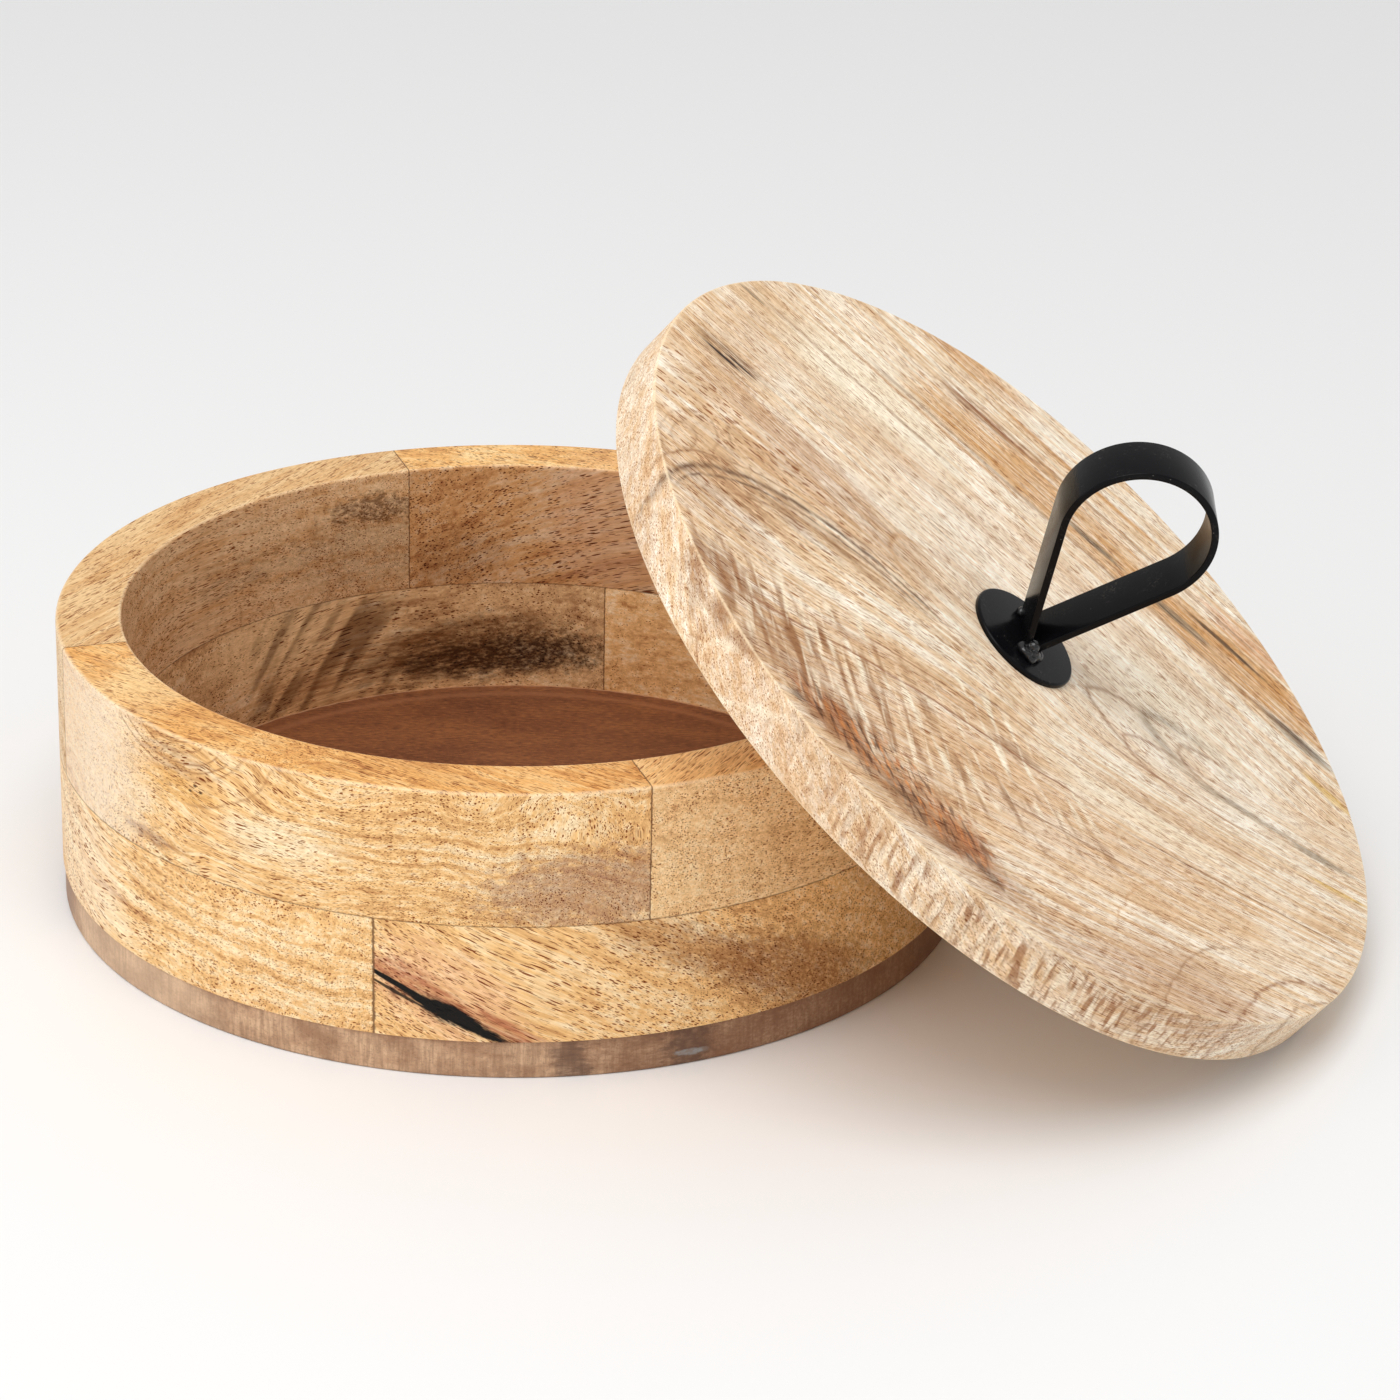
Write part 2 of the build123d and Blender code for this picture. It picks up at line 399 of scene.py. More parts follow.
def paint(red, green, blue):
    """Colour given as it is seen on a screen, from 0 to 255, made linear for the shader."""
    seen = np.array([red, green, blue]) / 255
    linear = np.where(seen > 0.04045, ((seen + 0.055) / 1.055) ** 2.4, seen / 12.92)
    return (*linear.tolist(), 1.0)


print("honey", [round(v, 3) for v in paint(226, 182, 121)])

# %% Shared effects and finishes
origin, half = (0.0, 0.0, 0.0), (0.5, 0.5, 0.5)
mask_result = {"Mask": "Float"}
finish_results = {"Color": "Color", "Roughness": "Float", "Height": "Float"}


def effect(name, inputs, outputs=mask_result):
    """Make a recipe into a node group.

    The inputs give each socket's first value and the outputs give each one's kind. The recipe
    takes the inputs as wires in the same order and hands back the outputs' wires.
    """
    def build(recipe):
        tree = bpy.data.node_groups.new(name, "ShaderNodeTree")
        kinds = {0: "NodeSocketFloat", 3: "NodeSocketVector", 4: "NodeSocketColor"}
        for label, value in inputs.items():
            kind = kinds[len(value) if isinstance(value, tuple) else 0]
            tree.interface.new_socket(label, in_out="INPUT", socket_type=kind).default_value = value
        for label, kind in outputs.items():
            tree.interface.new_socket(label, in_out="OUTPUT", socket_type="NodeSocket" + kind)
        given = fill(tree.nodes.new("NodeGroupInput"), {})
        results = recipe(*[given[number] for number in range(len(inputs))])
        fill(tree.nodes.new("NodeGroupOutput"), dict(enumerate(results)))
        print(name, len(tree.nodes), "nodes")
        return tree
    return build


def use(group, sockets):
    """Lay a shared effect with its own values."""
    return put("Group", sockets, node_tree=group)


def board_place(tree, matrix):
    """Place on a board in millimetres, read in the board's own frame."""
    seen = fill(tree.nodes.new("ShaderNodeTexCoord"), {})["Object"]
    frame_sockets = {"Location": matrix.translation, "Rotation": matrix.to_euler()}
    sockets = {"Vector": seen, **frame_sockets, "Scale": (mm, mm, mm)}
    return put("Mapping", sockets, vector_type="TEXTURE")[0]


def new_finish(name):
    """New material with its tree and its shader, ready for a recipe."""
    material = bpy.data.materials.new(name)
    material.use_nodes = True
    return material, material.node_tree, material.node_tree.nodes["Principled BSDF"]


def apply_finish(shader, colour, roughness, height, relief, more):
    """Join the recipe's results to the shader, the height as a bump of a real depth."""
    bump = put("Bump", {"Height": height, "Distance": relief, "Strength": 1.0})[0]
    fill(shader, {"Base Color": colour, "Roughness": roughness, "Normal": bump, **more})


print("a finish gives", list(finish_results))

# %% [markdown]
# ## Mango wood: growth rings
# Mango grows fast and wavy. A board cut from it shows its growth rings as long arches, because
# the saw crosses rings that wander up and down. A picture of wood would not turn round an edge,
# so the rings are worked out in space: each point's distance from a bent line, the heart of the
# tree, says which ring it lies in. The top and the side of a board then meet by themselves.

# %% Growth rings
ring_inputs = {"Place": origin, "Seed": origin, "Wave": (0.0, 3.0, 3.0),
               "Heart": (0.0, 30.0, -60.0), "Heart Slope": 0.1, "Ring Width": 5.0}


@effect("growth_rings", ring_inputs,
        {"Grain Place": "Vector", "Ring": "Float", "Late Wood": "Float"})
def growth_rings(place, seed, wave, heart, slope, ring_width):
    """The ring's number is the distance from the bent heart line over the ring's width."""
    seeded = place + seed
    slow = (cloud(seeded, (75, 34, 34), 1, output="Color") - half) * (0, 2, 2)
    quick = (cloud(seeded, (17, 8, 8), 1, output="Color") - half) * (0, 0.36, 0.36)
    grain_place = place + (slow + quick) * wave
    along, aside, up = split(grain_place - heart)
    ring = length(join(0.0, aside, along * slope + up)) / ring_width
    tone, unsteady = [
        put("TexNoise", {"W": ring, "Scale": scale, "Detail": detail}, noise_dimensions="1D")[0]
        for scale, detail in ((1.0, 3.0), (0.63, 1.0))]
    saw = calc("FRACT", unsteady * 1.7 + ring)
    patchy = span(cloud(seeded, (60, 9, 9), 1), 0.38, 0.62)
    return grain_place, tone, calc("POWER", saw, 9.0) * patchy

# %% [markdown]
# ## Mango wood: pores
# The dark dashes on mango are its vessels, cut open along the board and cut across at its ends.
# Scratches could be drawn as lines, but then the end grain would be wrong. Here each vessel is a
# long thin egg in space, so the same pores are dashes along the grain and dots across it. A
# paler sheath runs beside each one, as it does in the real wood.

# %% Pores
@effect("wood_pores", {"Place": origin, "Length": 4.0, "Width": 0.62, "Amount": 0.5},
        {"Pore": "Float", "Sheath": "Float"})
def wood_pores(place, long, wide, amount):
    """One vessel in each long cell of space, open where its chance is under the amount."""
    cells = join(1.0 / long, 1.0 / wide, 1.0 / wide)
    vessels = put("TexVoronoi", {"Vector": place * cells, "Scale": 1.0})
    chance = put("SeparateColor", {0: vessels["Color"]})[0]
    opened = calc("GREATER_THAN", amount, chance)
    depth = 1.0 - vessels["Distance"] / (chance * 0.2 + 0.2)
    return span(depth, 0.0, 0.3) * opened, span(vessels["Distance"], 0.75, 0.3) * opened

# %% [markdown]
# ## Mango wood: the ground colour
# The colour of a board comes from several layers at once: rings, streaks a few millimetres wide
# and clouds as large as a thumb. Three tones from pale to brown are mixed by the sum of these
# layers. One group holds the recipe, and each board gives it its own tones.

# %% Ground colour
@effect("mango_ground",
        {**ring_inputs, "Ring Depth": 0.5, "Tone": 0.5, "Streaks": 0.6, "Streak Width": 3.2,
         "Fine Streaks": 0.6, "Clouds": 1.2, "Pale": paint(247, 222, 178),
         "Warm": paint(240, 198, 138), "Brown": paint(186, 128, 74)},
        {"Color": "Color", "Grain Place": "Vector"})
def mango_ground(*given):
    """The tone is a start plus each layer's share: its noise less a half, times its depth."""
    rings = use(growth_rings, dict(zip(ring_inputs, given)))
    ring_depth, tone, streaks, streak_width, fine_streaks, clouds, pale, warm, brown = given[6:]
    grain = rings["Grain Place"] + given[1]
    streak_place = grain / join(90.0, streak_width, streak_width)
    for layer, depth, share in (
            (cloud(streak_place, (1, 1, 1), 4, 0.6), streaks, 2.4),
            (cloud(grain, (42, 1.0, 1.0), 2, 0.6, (1.9, 7.7, 3.3)), fine_streaks, 1.9),
            (cloud(grain, (34, 20, 20), 3, 0.6, (3.1, 1.7, 0.4)), clouds, 1.3),
            (rings["Ring"], ring_depth, 1.9)):
        tone = (layer - 0.5) * depth * share + tone
    colour = blend(span(tone, 0.0, 0.5, kind="LINEAR"), pale, warm)
    colour = blend(span(tone, 0.5, 1.1, kind="LINEAR"), colour, brown)
    return blend(rings["Late Wood"] * ring_depth * 0.6, colour, brown), grain

# %% [markdown]
# ## Mango wood: the open grain
# Over the ground come the quick layers: fine fibres, flecks the size of a grain of rice, ripples
# across the grain and two sizes of pores. They could be mixed in with the rest, but stains sink
# into wood and leave its pores in sight. So the marks of a board go on the ground colour first,
# and this group then darkens and lightens whatever it is given.

# %% Open grain
@effect("open_grain",
        {"Color": (1.0, 1.0, 1.0, 1.0), "Grain Place": origin, "Fibre": 1.0, "Flecks": 0.5,
         "Ripple": 0.2, "Pores": 0.7, "Pore Length": 4.0, "Pore Width": 0.68,
         "Pore Tone": paint(148, 98, 62)},
        finish_results)
def open_grain(colour, grain, fibres, flecks, ripples, pores, pore_length, pore_width, pore_tone):
    """The quick layers make light and dark, and two sizes of pores are cut into them."""
    fibre = cloud(grain, (15, 0.32, 0.32), 3, 0.7)
    fleck = cloud(grain, (4.0, 0.8, 0.8), 3, 0.7, (5.3, 2.1, 8.8))
    ripple = cloud(grain, (2.6, 15, 15), 2, 0.5, (0.3, 5.2, 2.2))
    light = (fibre - 0.5) * fibres * 0.7 + 1.0
    light = (fleck - 0.5) * flecks + light
    light = (ripple - 0.5) * ripples + light
    colour = shaded(colour, join(light, calc("POWER", light, 1.25), calc("POWER", light, 1.6)))

    gathered = span(cloud(grain, (30, 6, 6), 2, 0.5, (9.4, 0.2, 4.1)), 0.32, 0.68)
    amount = pores * (gathered * 0.8 + 0.5)
    coarse, fine = [
        use(wood_pores, {"Place": place, "Length": long, "Width": wide, "Amount": amount})
        for place, long, wide in ((grain, pore_length * 2.0, pore_width),
                                  (grain + (40, 60, 90), pore_length, pore_width * 0.62))]
    pore = calc("MAXIMUM", coarse["Pore"], fine["Pore"] * 0.75)
    colour = layered(colour, (coarse["Sheath"] * 0.5, shaded(colour, (1.1, 1.12, 1.14, 1))),
                     (pore, shaded(colour, pore_tone)))
    return colour, pore * 0.25 + (fibre * 0.2 + 0.45), fibre * 0.35 - pore

# %% [markdown]
# ## Marks that belong to one board
# Real boards have stains, mineral streaks and smoky patches, and these make a board
# recognisable. A patch could be painted, but a paint layer would not follow the grain round an
# edge. A mark here is an egg in space with a ragged edge: near its middle it is full, and noise
# stretched along the grain eats into its border.

# %% The noise that frays the marks
@effect("fraying", {"Place": origin}, {"Noise": "Vector"})
def fraying(place):
    """Three noises stretched along the grain, kept as the three parts of one place."""
    return [join(cloud(place, (11, 2.2, 2.2), 4, 0.65), cloud(place, (16, 0.8, 0.8), 3, 0.6),
                 cloud(place, (12, 6, 6), 2))]


mark_inputs = {"Place": origin, "Noise": half}
patch_inputs = {**mark_inputs, "Centre": origin, "Size": (10.0, 10.0, 10.0)}

# %% A smudge with a ragged edge
@effect("smudge", {**patch_inputs, "Ragged": 1.2, "Softness": 0.6, "Stranded": 0.5})
def smudge(place, noise, centre, size, ragged, softness, stranded):
    """Full inside an egg, fading over its soft share, frayed and split into strands."""
    fray, strand, _ = split(noise)
    share = (fray - 0.5) * ragged + length((place - centre) / size)
    strands = (span(strand, 0.34, 0.6) - 1.0) * stranded + 1.0
    return [span(share, 1.0, 1.0 - softness) * strands]

# %% A thin figure line along the grain
@effect("figure_line", {**mark_inputs, "Across": 0.0, "Start": -20.0, "End": 20.0, "Width": 0.8,
                        "Fade": 12.0})
def figure_line(place, noise, across, start, end, width, fade):
    """A bell of the swaying distance across the line, faded in and out at its ends."""
    x, y, _ = split(place)
    _, strand, sway = split(noise)
    body = bell(((sway - 0.5) * 2.2 + (y - across)) / width) * span(strand, 0.3, 0.55, 0.5, 1.0)
    return [body * (span(x, start, start + fade) * span(x, end, end - fade))]

# %% An arch, where the saw crossed a ring
@effect("figure_arch", {**mark_inputs, "Apex": origin, "Spread": 8.0, "Width": 0.8,
                        "Reach": 40.0})
def figure_arch(place, noise, apex, spread, width, reach):
    """A line that falls from its apex by the square of the way aside over its spread.

    The distance down to it, over the root of one plus four times the slope squared, is the
    distance square to it, so that the line keeps its width.
    """
    along, aside, _ = split(place - apex)
    down = along * -1.0
    steep = aside / spread
    offset = (split(noise)[2] - 0.5) * 5.0 + (down - aside * steep)
    slant = calc("SQRT", steep * steep * 4.0 + 1.0)
    return [bell(offset / slant / width) * span(down, reach, 0.0)]

# %% A bow: part of an oval line that does not follow the grain
@effect("figure_bow", {**patch_inputs, "Facing": origin, "Least": 0.7, "Width": 0.5})
def figure_bow(place, noise, centre, size, facing, least, width):
    """A bell of the swaying distance from an oval, where the oval faces the wanted way."""
    fray, _, sway = split(noise)
    oval = (place - centre) / size
    offset = (length(oval) - 1.0) * split(size)[0]
    offset = (sway - 0.5) * (width * 1.6 + 2.4) + offset
    ahead = put("VectorMath", {0: oval, 1: facing}, operation="DOT_PRODUCT")["Value"]
    worn = span(fray, 0.34, 0.58, 0.35, 1.0)
    return [bell(offset / width) * worn * span(ahead, least, least + 0.15)]

# %% Curl: short strokes across the grain
@effect("curl_strokes", {**patch_inputs, "Turn": -0.97, "Axis": (0.0, 0.0, 1.0),
                         "Stroke": (25.0, 4.0, 33.0), "Least": 0.52})
def curl_strokes(place, noise, centre, size, turn, axis, stroke, least):
    """Noise stretched into leaning strokes, kept where it is high and inside a frayed egg."""
    from_centre = place - centre
    leant = put("VectorRotate", {"Vector": from_centre, "Angle": turn, "Axis": axis},
                rotation_type="AXIS_ANGLE")[0]
    strokes = put("TexNoise", {"Vector": leant / stroke, "Scale": 1.0, "Detail": 1.0})[0]
    frayed = (split(noise)[0] - 0.5) * 0.8 + length(from_centre / size)
    return [span(strokes, least, least + 0.18) * span(frayed, 1.0, 0.4)]

# %% [markdown]
# ## Edges and glue
# Sanding rubs an edge pale, and here that pale edge is also a painted highlight along the
# rounded arris. Glue squeezes out as a thin dark line. Both follow the turned shape and not the
# grain, so they read the distance from the turning axis and the height. The distance to an edge
# is then a matter of two numbers, wherever the piece is cut.

# %% A sanded arris with its painted highlight, and a glue line
@effect("sanded_arris_highlight", {"Place": origin, "Radius": 125.0, "Height": 16.0, "Width": 0.9})
def sanded_arris_highlight(place, radius, height, width):
    """The distance from a turned edge, which lies at a radius and a height, made uneven."""
    gap = length(join(from_axis(place) - radius, split(place)[2] - height, 0.0))
    gap = (cloud(place, (7, 7, 7), 3) - 0.5) * 0.9 + gap
    return [span(gap, width, 0.0)]


@effect("glue_line", {"Place": origin, "Half Angle": 0.78, "Seam Height": 43.5,
                      "Seam Width": 0.3, "First Width": 0.3, "Last Width": 0.3},
        {"Joint": "Float", "Seam": "Float"})
def glue_line(place, half_angle, level, seam_width, first_width, last_width):
    """The distance from a block's two ends, round the wall, and from the seam below or above."""
    x, y, z = split(place)
    angle = calc("ARCTAN2", y, x)
    to_end = (half_angle - calc("ABSOLUTE", angle)) * from_axis(place)
    to_seam = calc("ABSOLUTE", z - level)
    filled = span(cloud(place, (1.3, 1.3, 1.3), 3, 0.7), 0.3, 0.62, 0.25, 1.3)
    end_width = span(angle, -0.1, 0.1, first_width, last_width) * filled
    seam_width = seam_width * filled
    return [span(gap, width, width * 0.3)
            for gap, width in ((to_end, end_width), (to_seam, seam_width))]


# Pale of a sanded edge, which also serves as a painted highlight along the arris.
arris_pale_highlight = paint(250, 226, 188)


def rubbed_and_highlit(colour, place, radius, height, width, strength):
    """A colour whose turned edge at a radius and a height is sanded pale, a pale that also paints the
    edge's highlight.
    """
    mask = use(sanded_arris_highlight, {"Place": place, "Radius": radius / mm, "Height": height / mm,
                              "Width": width})["Mask"]
    return blend(mask * strength, colour, arris_pale_highlight)

# %% [markdown]
# ## The eight wall blocks
# Each block was sawn from its own plank, so its grain runs straight like the plank while the
# wall bends away from it: in the middle of a block the pores are dashes, and towards its ends
# they become dots. One texture wrapped round the whole wall would lose that. So every block
# reads the wood in its own plank's frame, turned to where the grain touches the wall.

# %% Finish of one wall block
wood_relief, wood_shine = 0.00003, {"Specular IOR Level": 0.22}
glue_brown = paint(104, 68, 38)


def plank_frame(grain_angle, grain_tilt, height):
    """Frame of the plank: x along its grain where the wall touches it, y into the wood."""
    turn = radians(grain_angle)
    matrix = Matrix.Rotation(turn + pi / 2, 4, "Z") @ Matrix.Rotation(radians(grain_tilt), 4, "Y")
    place = Vector((box_radius * cos(turn), box_radius * sin(turn), height))
    return Matrix.Translation(place) @ matrix


def on_wall(plank, angle, height, radius):
    """Place on the wall, given by angle and height, in the plank's millimetres."""
    turn = radians(angle)
    point = Vector((radius * cos(turn), radius * sin(turn), height * mm))
    return (plank.inverted() @ point) / mm


def add_marks(colour, place, marks):
    """Lay each mark over the colour: its shape, its tone, its strength and its values."""
    if not marks:
        return colour
    noise = use(fraying, {"Place": place})["Noise"]
    for group, tone, strength, sockets in marks:
        mask = use(group, {"Place": place, "Noise": noise, **sockets})["Mask"]
        colour = blend(mask * strength, colour, tone)
    return colour


def mango_wood(place, ground, open_pores, *layers):
    """A board of mango: its ground colour, its layers of marks and its open grain."""
    board = use(mango_ground, {"Place": place, **ground})
    colour = board["Color"]
    for seen_from, found in layers:
        colour = add_marks(colour, seen_from, found)
    return use(open_grain, {"Color": colour, "Grain Place": board["Grain Place"], **open_pores})


def wall_finish(name, start, end, plank, ground, open_pores, inside):
    """Mango wood in the plank's frame, with its marks, glue lines, a sanded rim whose pale also paints
    its highlight, and painted shade on its inner face.
    """
    material, tree, shader = new_finish(name + "_wood")
    place = board_place(tree, plank)
    wood = mango_wood(place, ground, open_pores, (place, marks[name]))
    ring_place = board_place(tree, Matrix.Rotation(radians((start + end) / 2), 4, "Z"))
    rim, inner = box_height / mm, inner_radius / mm
    on_top = span(split(ring_place)[2], rim - 0.5, rim - 0.1)
    # A second layer of marks: arcs of figure in the wood, and painted sheen.
    colour = add_marks(wood["Color"], place, arcs_and_painted_sheen[name])
    colour = blend(on_top, colour, shaded(wood["Color"], rim_tints[name]))
    for radius in (box_radius, inner_radius):
        colour = rubbed_and_highlit(colour, ring_place, radius, box_height, 1.2, 0.5)
    # Painted shade: the inner face is multiplied by the block's inside tone, because the inside of the
    # wall lies in shade.
    inner_shade_mask = span(from_axis(ring_place), inner + 0.6, inner + 0.1)
    glue = use(glue_line, {"Place": ring_place, "Half Angle": radians((end - start) / 2),
                           **thick_glue.get(name, {})})
    colour = layered(colour, (inner_shade_mask, shaded(wood["Color"], inside)),
                     (glue["Joint"] * 0.85, glue_brown), (glue["Seam"] * 0.6, glue_brown))
    height = wood["Height"] - glue["Joint"]
    apply_finish(shader, colour, wood["Roughness"], height, wood_relief, wood_shine)
    return material


print("plank test", [round(v, 1) for v in on_wall(plank_frame(270, 0, 0.04), 270, 40, box_radius)])

# %% Each block's own plank: where its grain touches the wall, its tilt, its ground, its grain and the painted shade of its inner face
joint_rounding, block_step = 0.06 * mm, 0.75
wall_tones = {"Pale": paint(252, 226, 182), "Warm": paint(240, 192, 128),
              "Brown": paint(176, 114, 62)}
dull_tones = {"Pale": paint(240, 212, 172), "Warm": paint(222, 180, 130),
              "Brown": paint(164, 116, 74)}
wall_ground = {"Tone": 0.42, "Ring Depth": 0.5, "Clouds": 0.8, **wall_tones}
fine_pores = {"Pores": 1.3, "Pore Length": 3.0, "Pore Width": 0.54, "Fibre": 1.1}
# Painted shade in grey for the inner faces of the front blocks.
inner_shade_grey = (0.8, 0.8, 0.8)
# Each block: where its grain touches the wall, its tilt, ground, open grain and the painted shade
# multiplied into its inner face.
planks = {
    "lower_block_back_left": (
        122, 4, {"Tone": 0.6, "Wave": (0, 1, 5), "Clouds": 0.9, **dull_tones},
        {"Pores": 0.8, "Pore Tone": paint(140, 94, 58)}, (1, 1, 1)),
    "lower_block_front_left": (
        212, 3, {"Wave": (0, 1.2, 9), "Ring Depth": 0.55, "Ring Width": 3.6, "Streaks": 0.45,
                 "Streak Width": 2.0, "Clouds": 0.7},
        {**fine_pores, "Pores": 1.2, "Pore Tone": paint(150, 96, 50)}, inner_shade_grey),
    "lower_block_front_right": (
        272, 27, {"Wave": (0, 1, 3), "Ring Depth": 0.3, "Streaks": 0.5, "Streak Width": 2.0},
        {"Pores": 1.3, "Pore Length": 4.6, "Pore Width": 0.56, "Pore Tone": paint(138, 84, 44),
         "Fibre": 1.2}, inner_shade_grey),
    "lower_block_back_right": (
        38, -2, {"Tone": 0.45, "Wave": (0, 1, 2), "Ring Depth": 0.4}, {"Pores": 0.4},
        (0.95, 0.92, 0.95)),
    "upper_block_back_left": (
        150, -3, {"Tone": 0.2, "Wave": (0, 1, 3), "Ring Depth": 0.4, "Clouds": 0.7, **dull_tones},
        {"Pores": 1.1, "Pore Length": 3.0, "Pore Width": 0.52, "Pore Tone": paint(150, 98, 54)},
        (0.96, 0.88, 0.8)),
    "upper_block_front_left": (
        236, 2, {"Wave": (0, 1.4, 14), "Ring Depth": 0.6, "Ring Width": 3.4, "Streaks": 0.45,
                 "Streak Width": 2.2, "Clouds": 0.7},
        {**fine_pores, "Pore Tone": paint(146, 94, 50), "Flecks": 0.7}, inner_shade_grey),
    "upper_block_front_right": (
        335, 2, {"Wave": (0, 1, 3), "Ring Depth": 0.15, "Streaks": 0.35, "Clouds": 0.7,
                 "Warm": paint(240, 198, 142)},
        {"Pores": 1.2, "Pore Width": 0.56, "Pore Tone": paint(150, 100, 60), "Fibre": 1.1},
        inner_shade_grey),
    "upper_block_back_right": (
        72, 16, {"Wave": (0, 1, 4)},
        {"Pores": 1.0, "Pore Length": 5.6, "Pore Tone": paint(120, 74, 44)}, (0.76, 0.67, 0.66)),
}
marks, arcs_and_painted_sheen = {name: [] for name in planks}, {name: [] for name in planks}
frames = {name: plank_frame(*plank[:2], (base_thickness + box_height) / 2)
          for name, plank in planks.items()}
rim_tints = defaultdict(lambda: (0.95, 0.85, 0.68, 1), {
    "upper_block_front_left": (0.9, 0.76, 0.55, 1),
    "upper_block_back_left": (0.9, 0.8, 0.64, 1)})
thick_glue = {"lower_block_front_left": {"Last Width": 0.55},
              "lower_block_front_right": {"First Width": 0.6}}
print("planks", len(planks))

# %% Marks as rows
def patch(centre, size, tone, strength, stranded=0.5, ragged=1.2, softness=0.6):
    """A smudge of a tone, with how stranded, ragged and soft it is."""
    return (smudge, tone, strength, {"Centre": centre, "Size": size, "Stranded": stranded,
                                     "Ragged": ragged, "Softness": softness})


def strokes(centre, size, turn, stroke, least, tone, strength, axis=(0, 0, 1)):
    """Short strokes of a size and a lean, inside a region."""
    return (curl_strokes, tone, strength, {"Centre": centre, "Size": size, "Turn": turn,
                                           "Stroke": stroke, "Least": least, "Axis": axis})


def oval(centre, size, facing, least, width, tone, strength):
    """The part of an oval line that faces a way."""
    return (figure_bow, tone, strength, {"Centre": centre, "Size": size, "Facing": facing,
                                         "Least": least, "Width": width})


print("marks are", smudge.name, curl_strokes.name, figure_bow.name)

# %% The marks of the wall
rust_halo, mineral_black, arc_brown = paint(168, 88, 52), paint(12, 8, 6), paint(150, 96, 54)
dark_core, umber = paint(58, 28, 4), paint(100, 60, 24)
front_left = "upper_block_front_left"
# Each row: angle, height, size, tone, strength, how stranded, how ragged, how soft.
outer_smudges = {
    "lower_block_front_right": [
        (264, 24, (30, 40, 16), paint(240, 190, 150), 0.6),
        (261, 25, (24, 40, 6), rust_halo, 0.75, 0.5, 1.6),
        (271, 14, (18, 40, 5), rust_halo, 0.8, 0.5, 1.6),
        (264.4, 18.4, (21, 40, 3.9), paint(84, 46, 28), 0.75, 0.5, 2.0),
        (258.4, 25.6, (13, 40, 0.9), mineral_black, 1.0, 0.0, 0.6, 0.3),
        (258.2, 23.4, (11, 40, 0.6), mineral_black, 0.9, 0.0, 0.6, 0.4),
        (265.4, 17.2, (16, 40, 2.8), mineral_black, 1.0, 0.0, 1.5, 0.3),
        # The brown smudges at 308, 293 and 330 degrees are painted shade: the wall darkened where the
        # leaning lid shades it.
        (308, 20, (36, 60, 14), paint(146, 90, 48), 0.75),
        (293, 34, (34, 60, 9), paint(150, 94, 50), 0.55),
        (330, 34, (26, 60, 7), arc_brown, 0.5)],
    # The pale smudges at 202 and 214 degrees are painted sheen: the pale wash of light grazing the
    # wall's far left.
    "lower_block_front_left": [(202, 26, (40, 60, 30), paint(252, 232, 202), 0.6)],
    front_left: [
        (214, 63, (26, 60, 40), paint(250, 226, 188), 0.65, 0.3),
        (282, 53, (32, 60, 15), paint(172, 130, 104), 0.7, 0.3, 1.8),
        (223, 48.5, (16, 40, 2.6), paint(150, 88, 44), 0.7),
        (228, 74, (18, 40, 6), paint(176, 120, 68), 0.5),
        (243, 60, (24, 40, 7), paint(252, 232, 194), 0.8),
        (226, 66, (26, 40, 6), paint(228, 170, 88), 0.6),
        (231.2, 68.5, (0.9, 3, 0.5), mineral_black, 0.8, 0.0, 0.3),
        (232.1, 67.2, (0.9, 3, 0.5), mineral_black, 0.8, 0.0, 0.3),
        (230.4, 66.8, (0.9, 3, 0.5), mineral_black, 0.8, 0.0, 0.3)],
}
inner_smudges = {
    "lower_block_back_left": [
        (134, 35, (36, 30, 13), paint(240, 204, 154), 0.85, 0.3),
        (98, 24, (54, 30, 13), umber, 0.85, 0.5, 0.9),
        (93, 20.5, (52, 30, 8.5), dark_core, 0.9, 0.45, 1.3)],
    "upper_block_back_left": [
        (115, 70, (17, 30, 5.5), umber, 0.75, 0.8, 2.6),
        (140, 60, (24, 30, 8), umber, 0.3, 0.9, 2.2),
        (116, 57, (40, 30, 18), umber, 0.35, 0.6)],
    "upper_block_back_right": [
        (78, 62, (22, 30, 34), paint(236, 196, 156), 0.55),
        (102, 52, (18, 30, 12), umber, 0.3)],
}
for radius, smudges in ((box_radius, outer_smudges), (inner_radius, inner_smudges)):
    for name, rows in smudges.items():
        marks[name] += [patch(on_wall(frames[name], angle, height, radius), *row)
                        for angle, height, *row in rows]
marks["lower_block_back_left"].append(strokes(
    on_wall(frames["lower_block_back_left"], 124, 25, inner_radius), (40, 40, 30), -0.87,
    (34, 60, 5.4), 0.44, umber, 0.75, (0, 1, 0)))

# The wide pale veil at 205 degrees is painted sheen where light grazes the far left of the wall; the
# ovals after it are figure in the wood.
arcs_and_painted_sheen[front_left].append(patch(
    on_wall(frames[front_left], 205, 62, box_radius), (44, 60, 60), paint(248, 226, 200), 0.72,
    0.55, 0.9, 0.7))
for angle, height, stretch, sizes, *row in (
        (227, 84.5, 1.7, (5.4, 8.0, 11.4, 13.4), (0, 0, -1), 0.35, 0.4, arc_brown, 0.7),
        (229, 90, 1.2, (20, 27), (0.6, 0, -0.8), 0.75, 0.45, arc_brown, 0.45)):
    centre = on_wall(frames[front_left], angle, height, box_radius)
    arcs_and_painted_sheen[front_left] += [oval(centre, (size * stretch, 400, size), *row) for size in sizes]
print("marks", {name: len(found) for name, found in marks.items() if found})

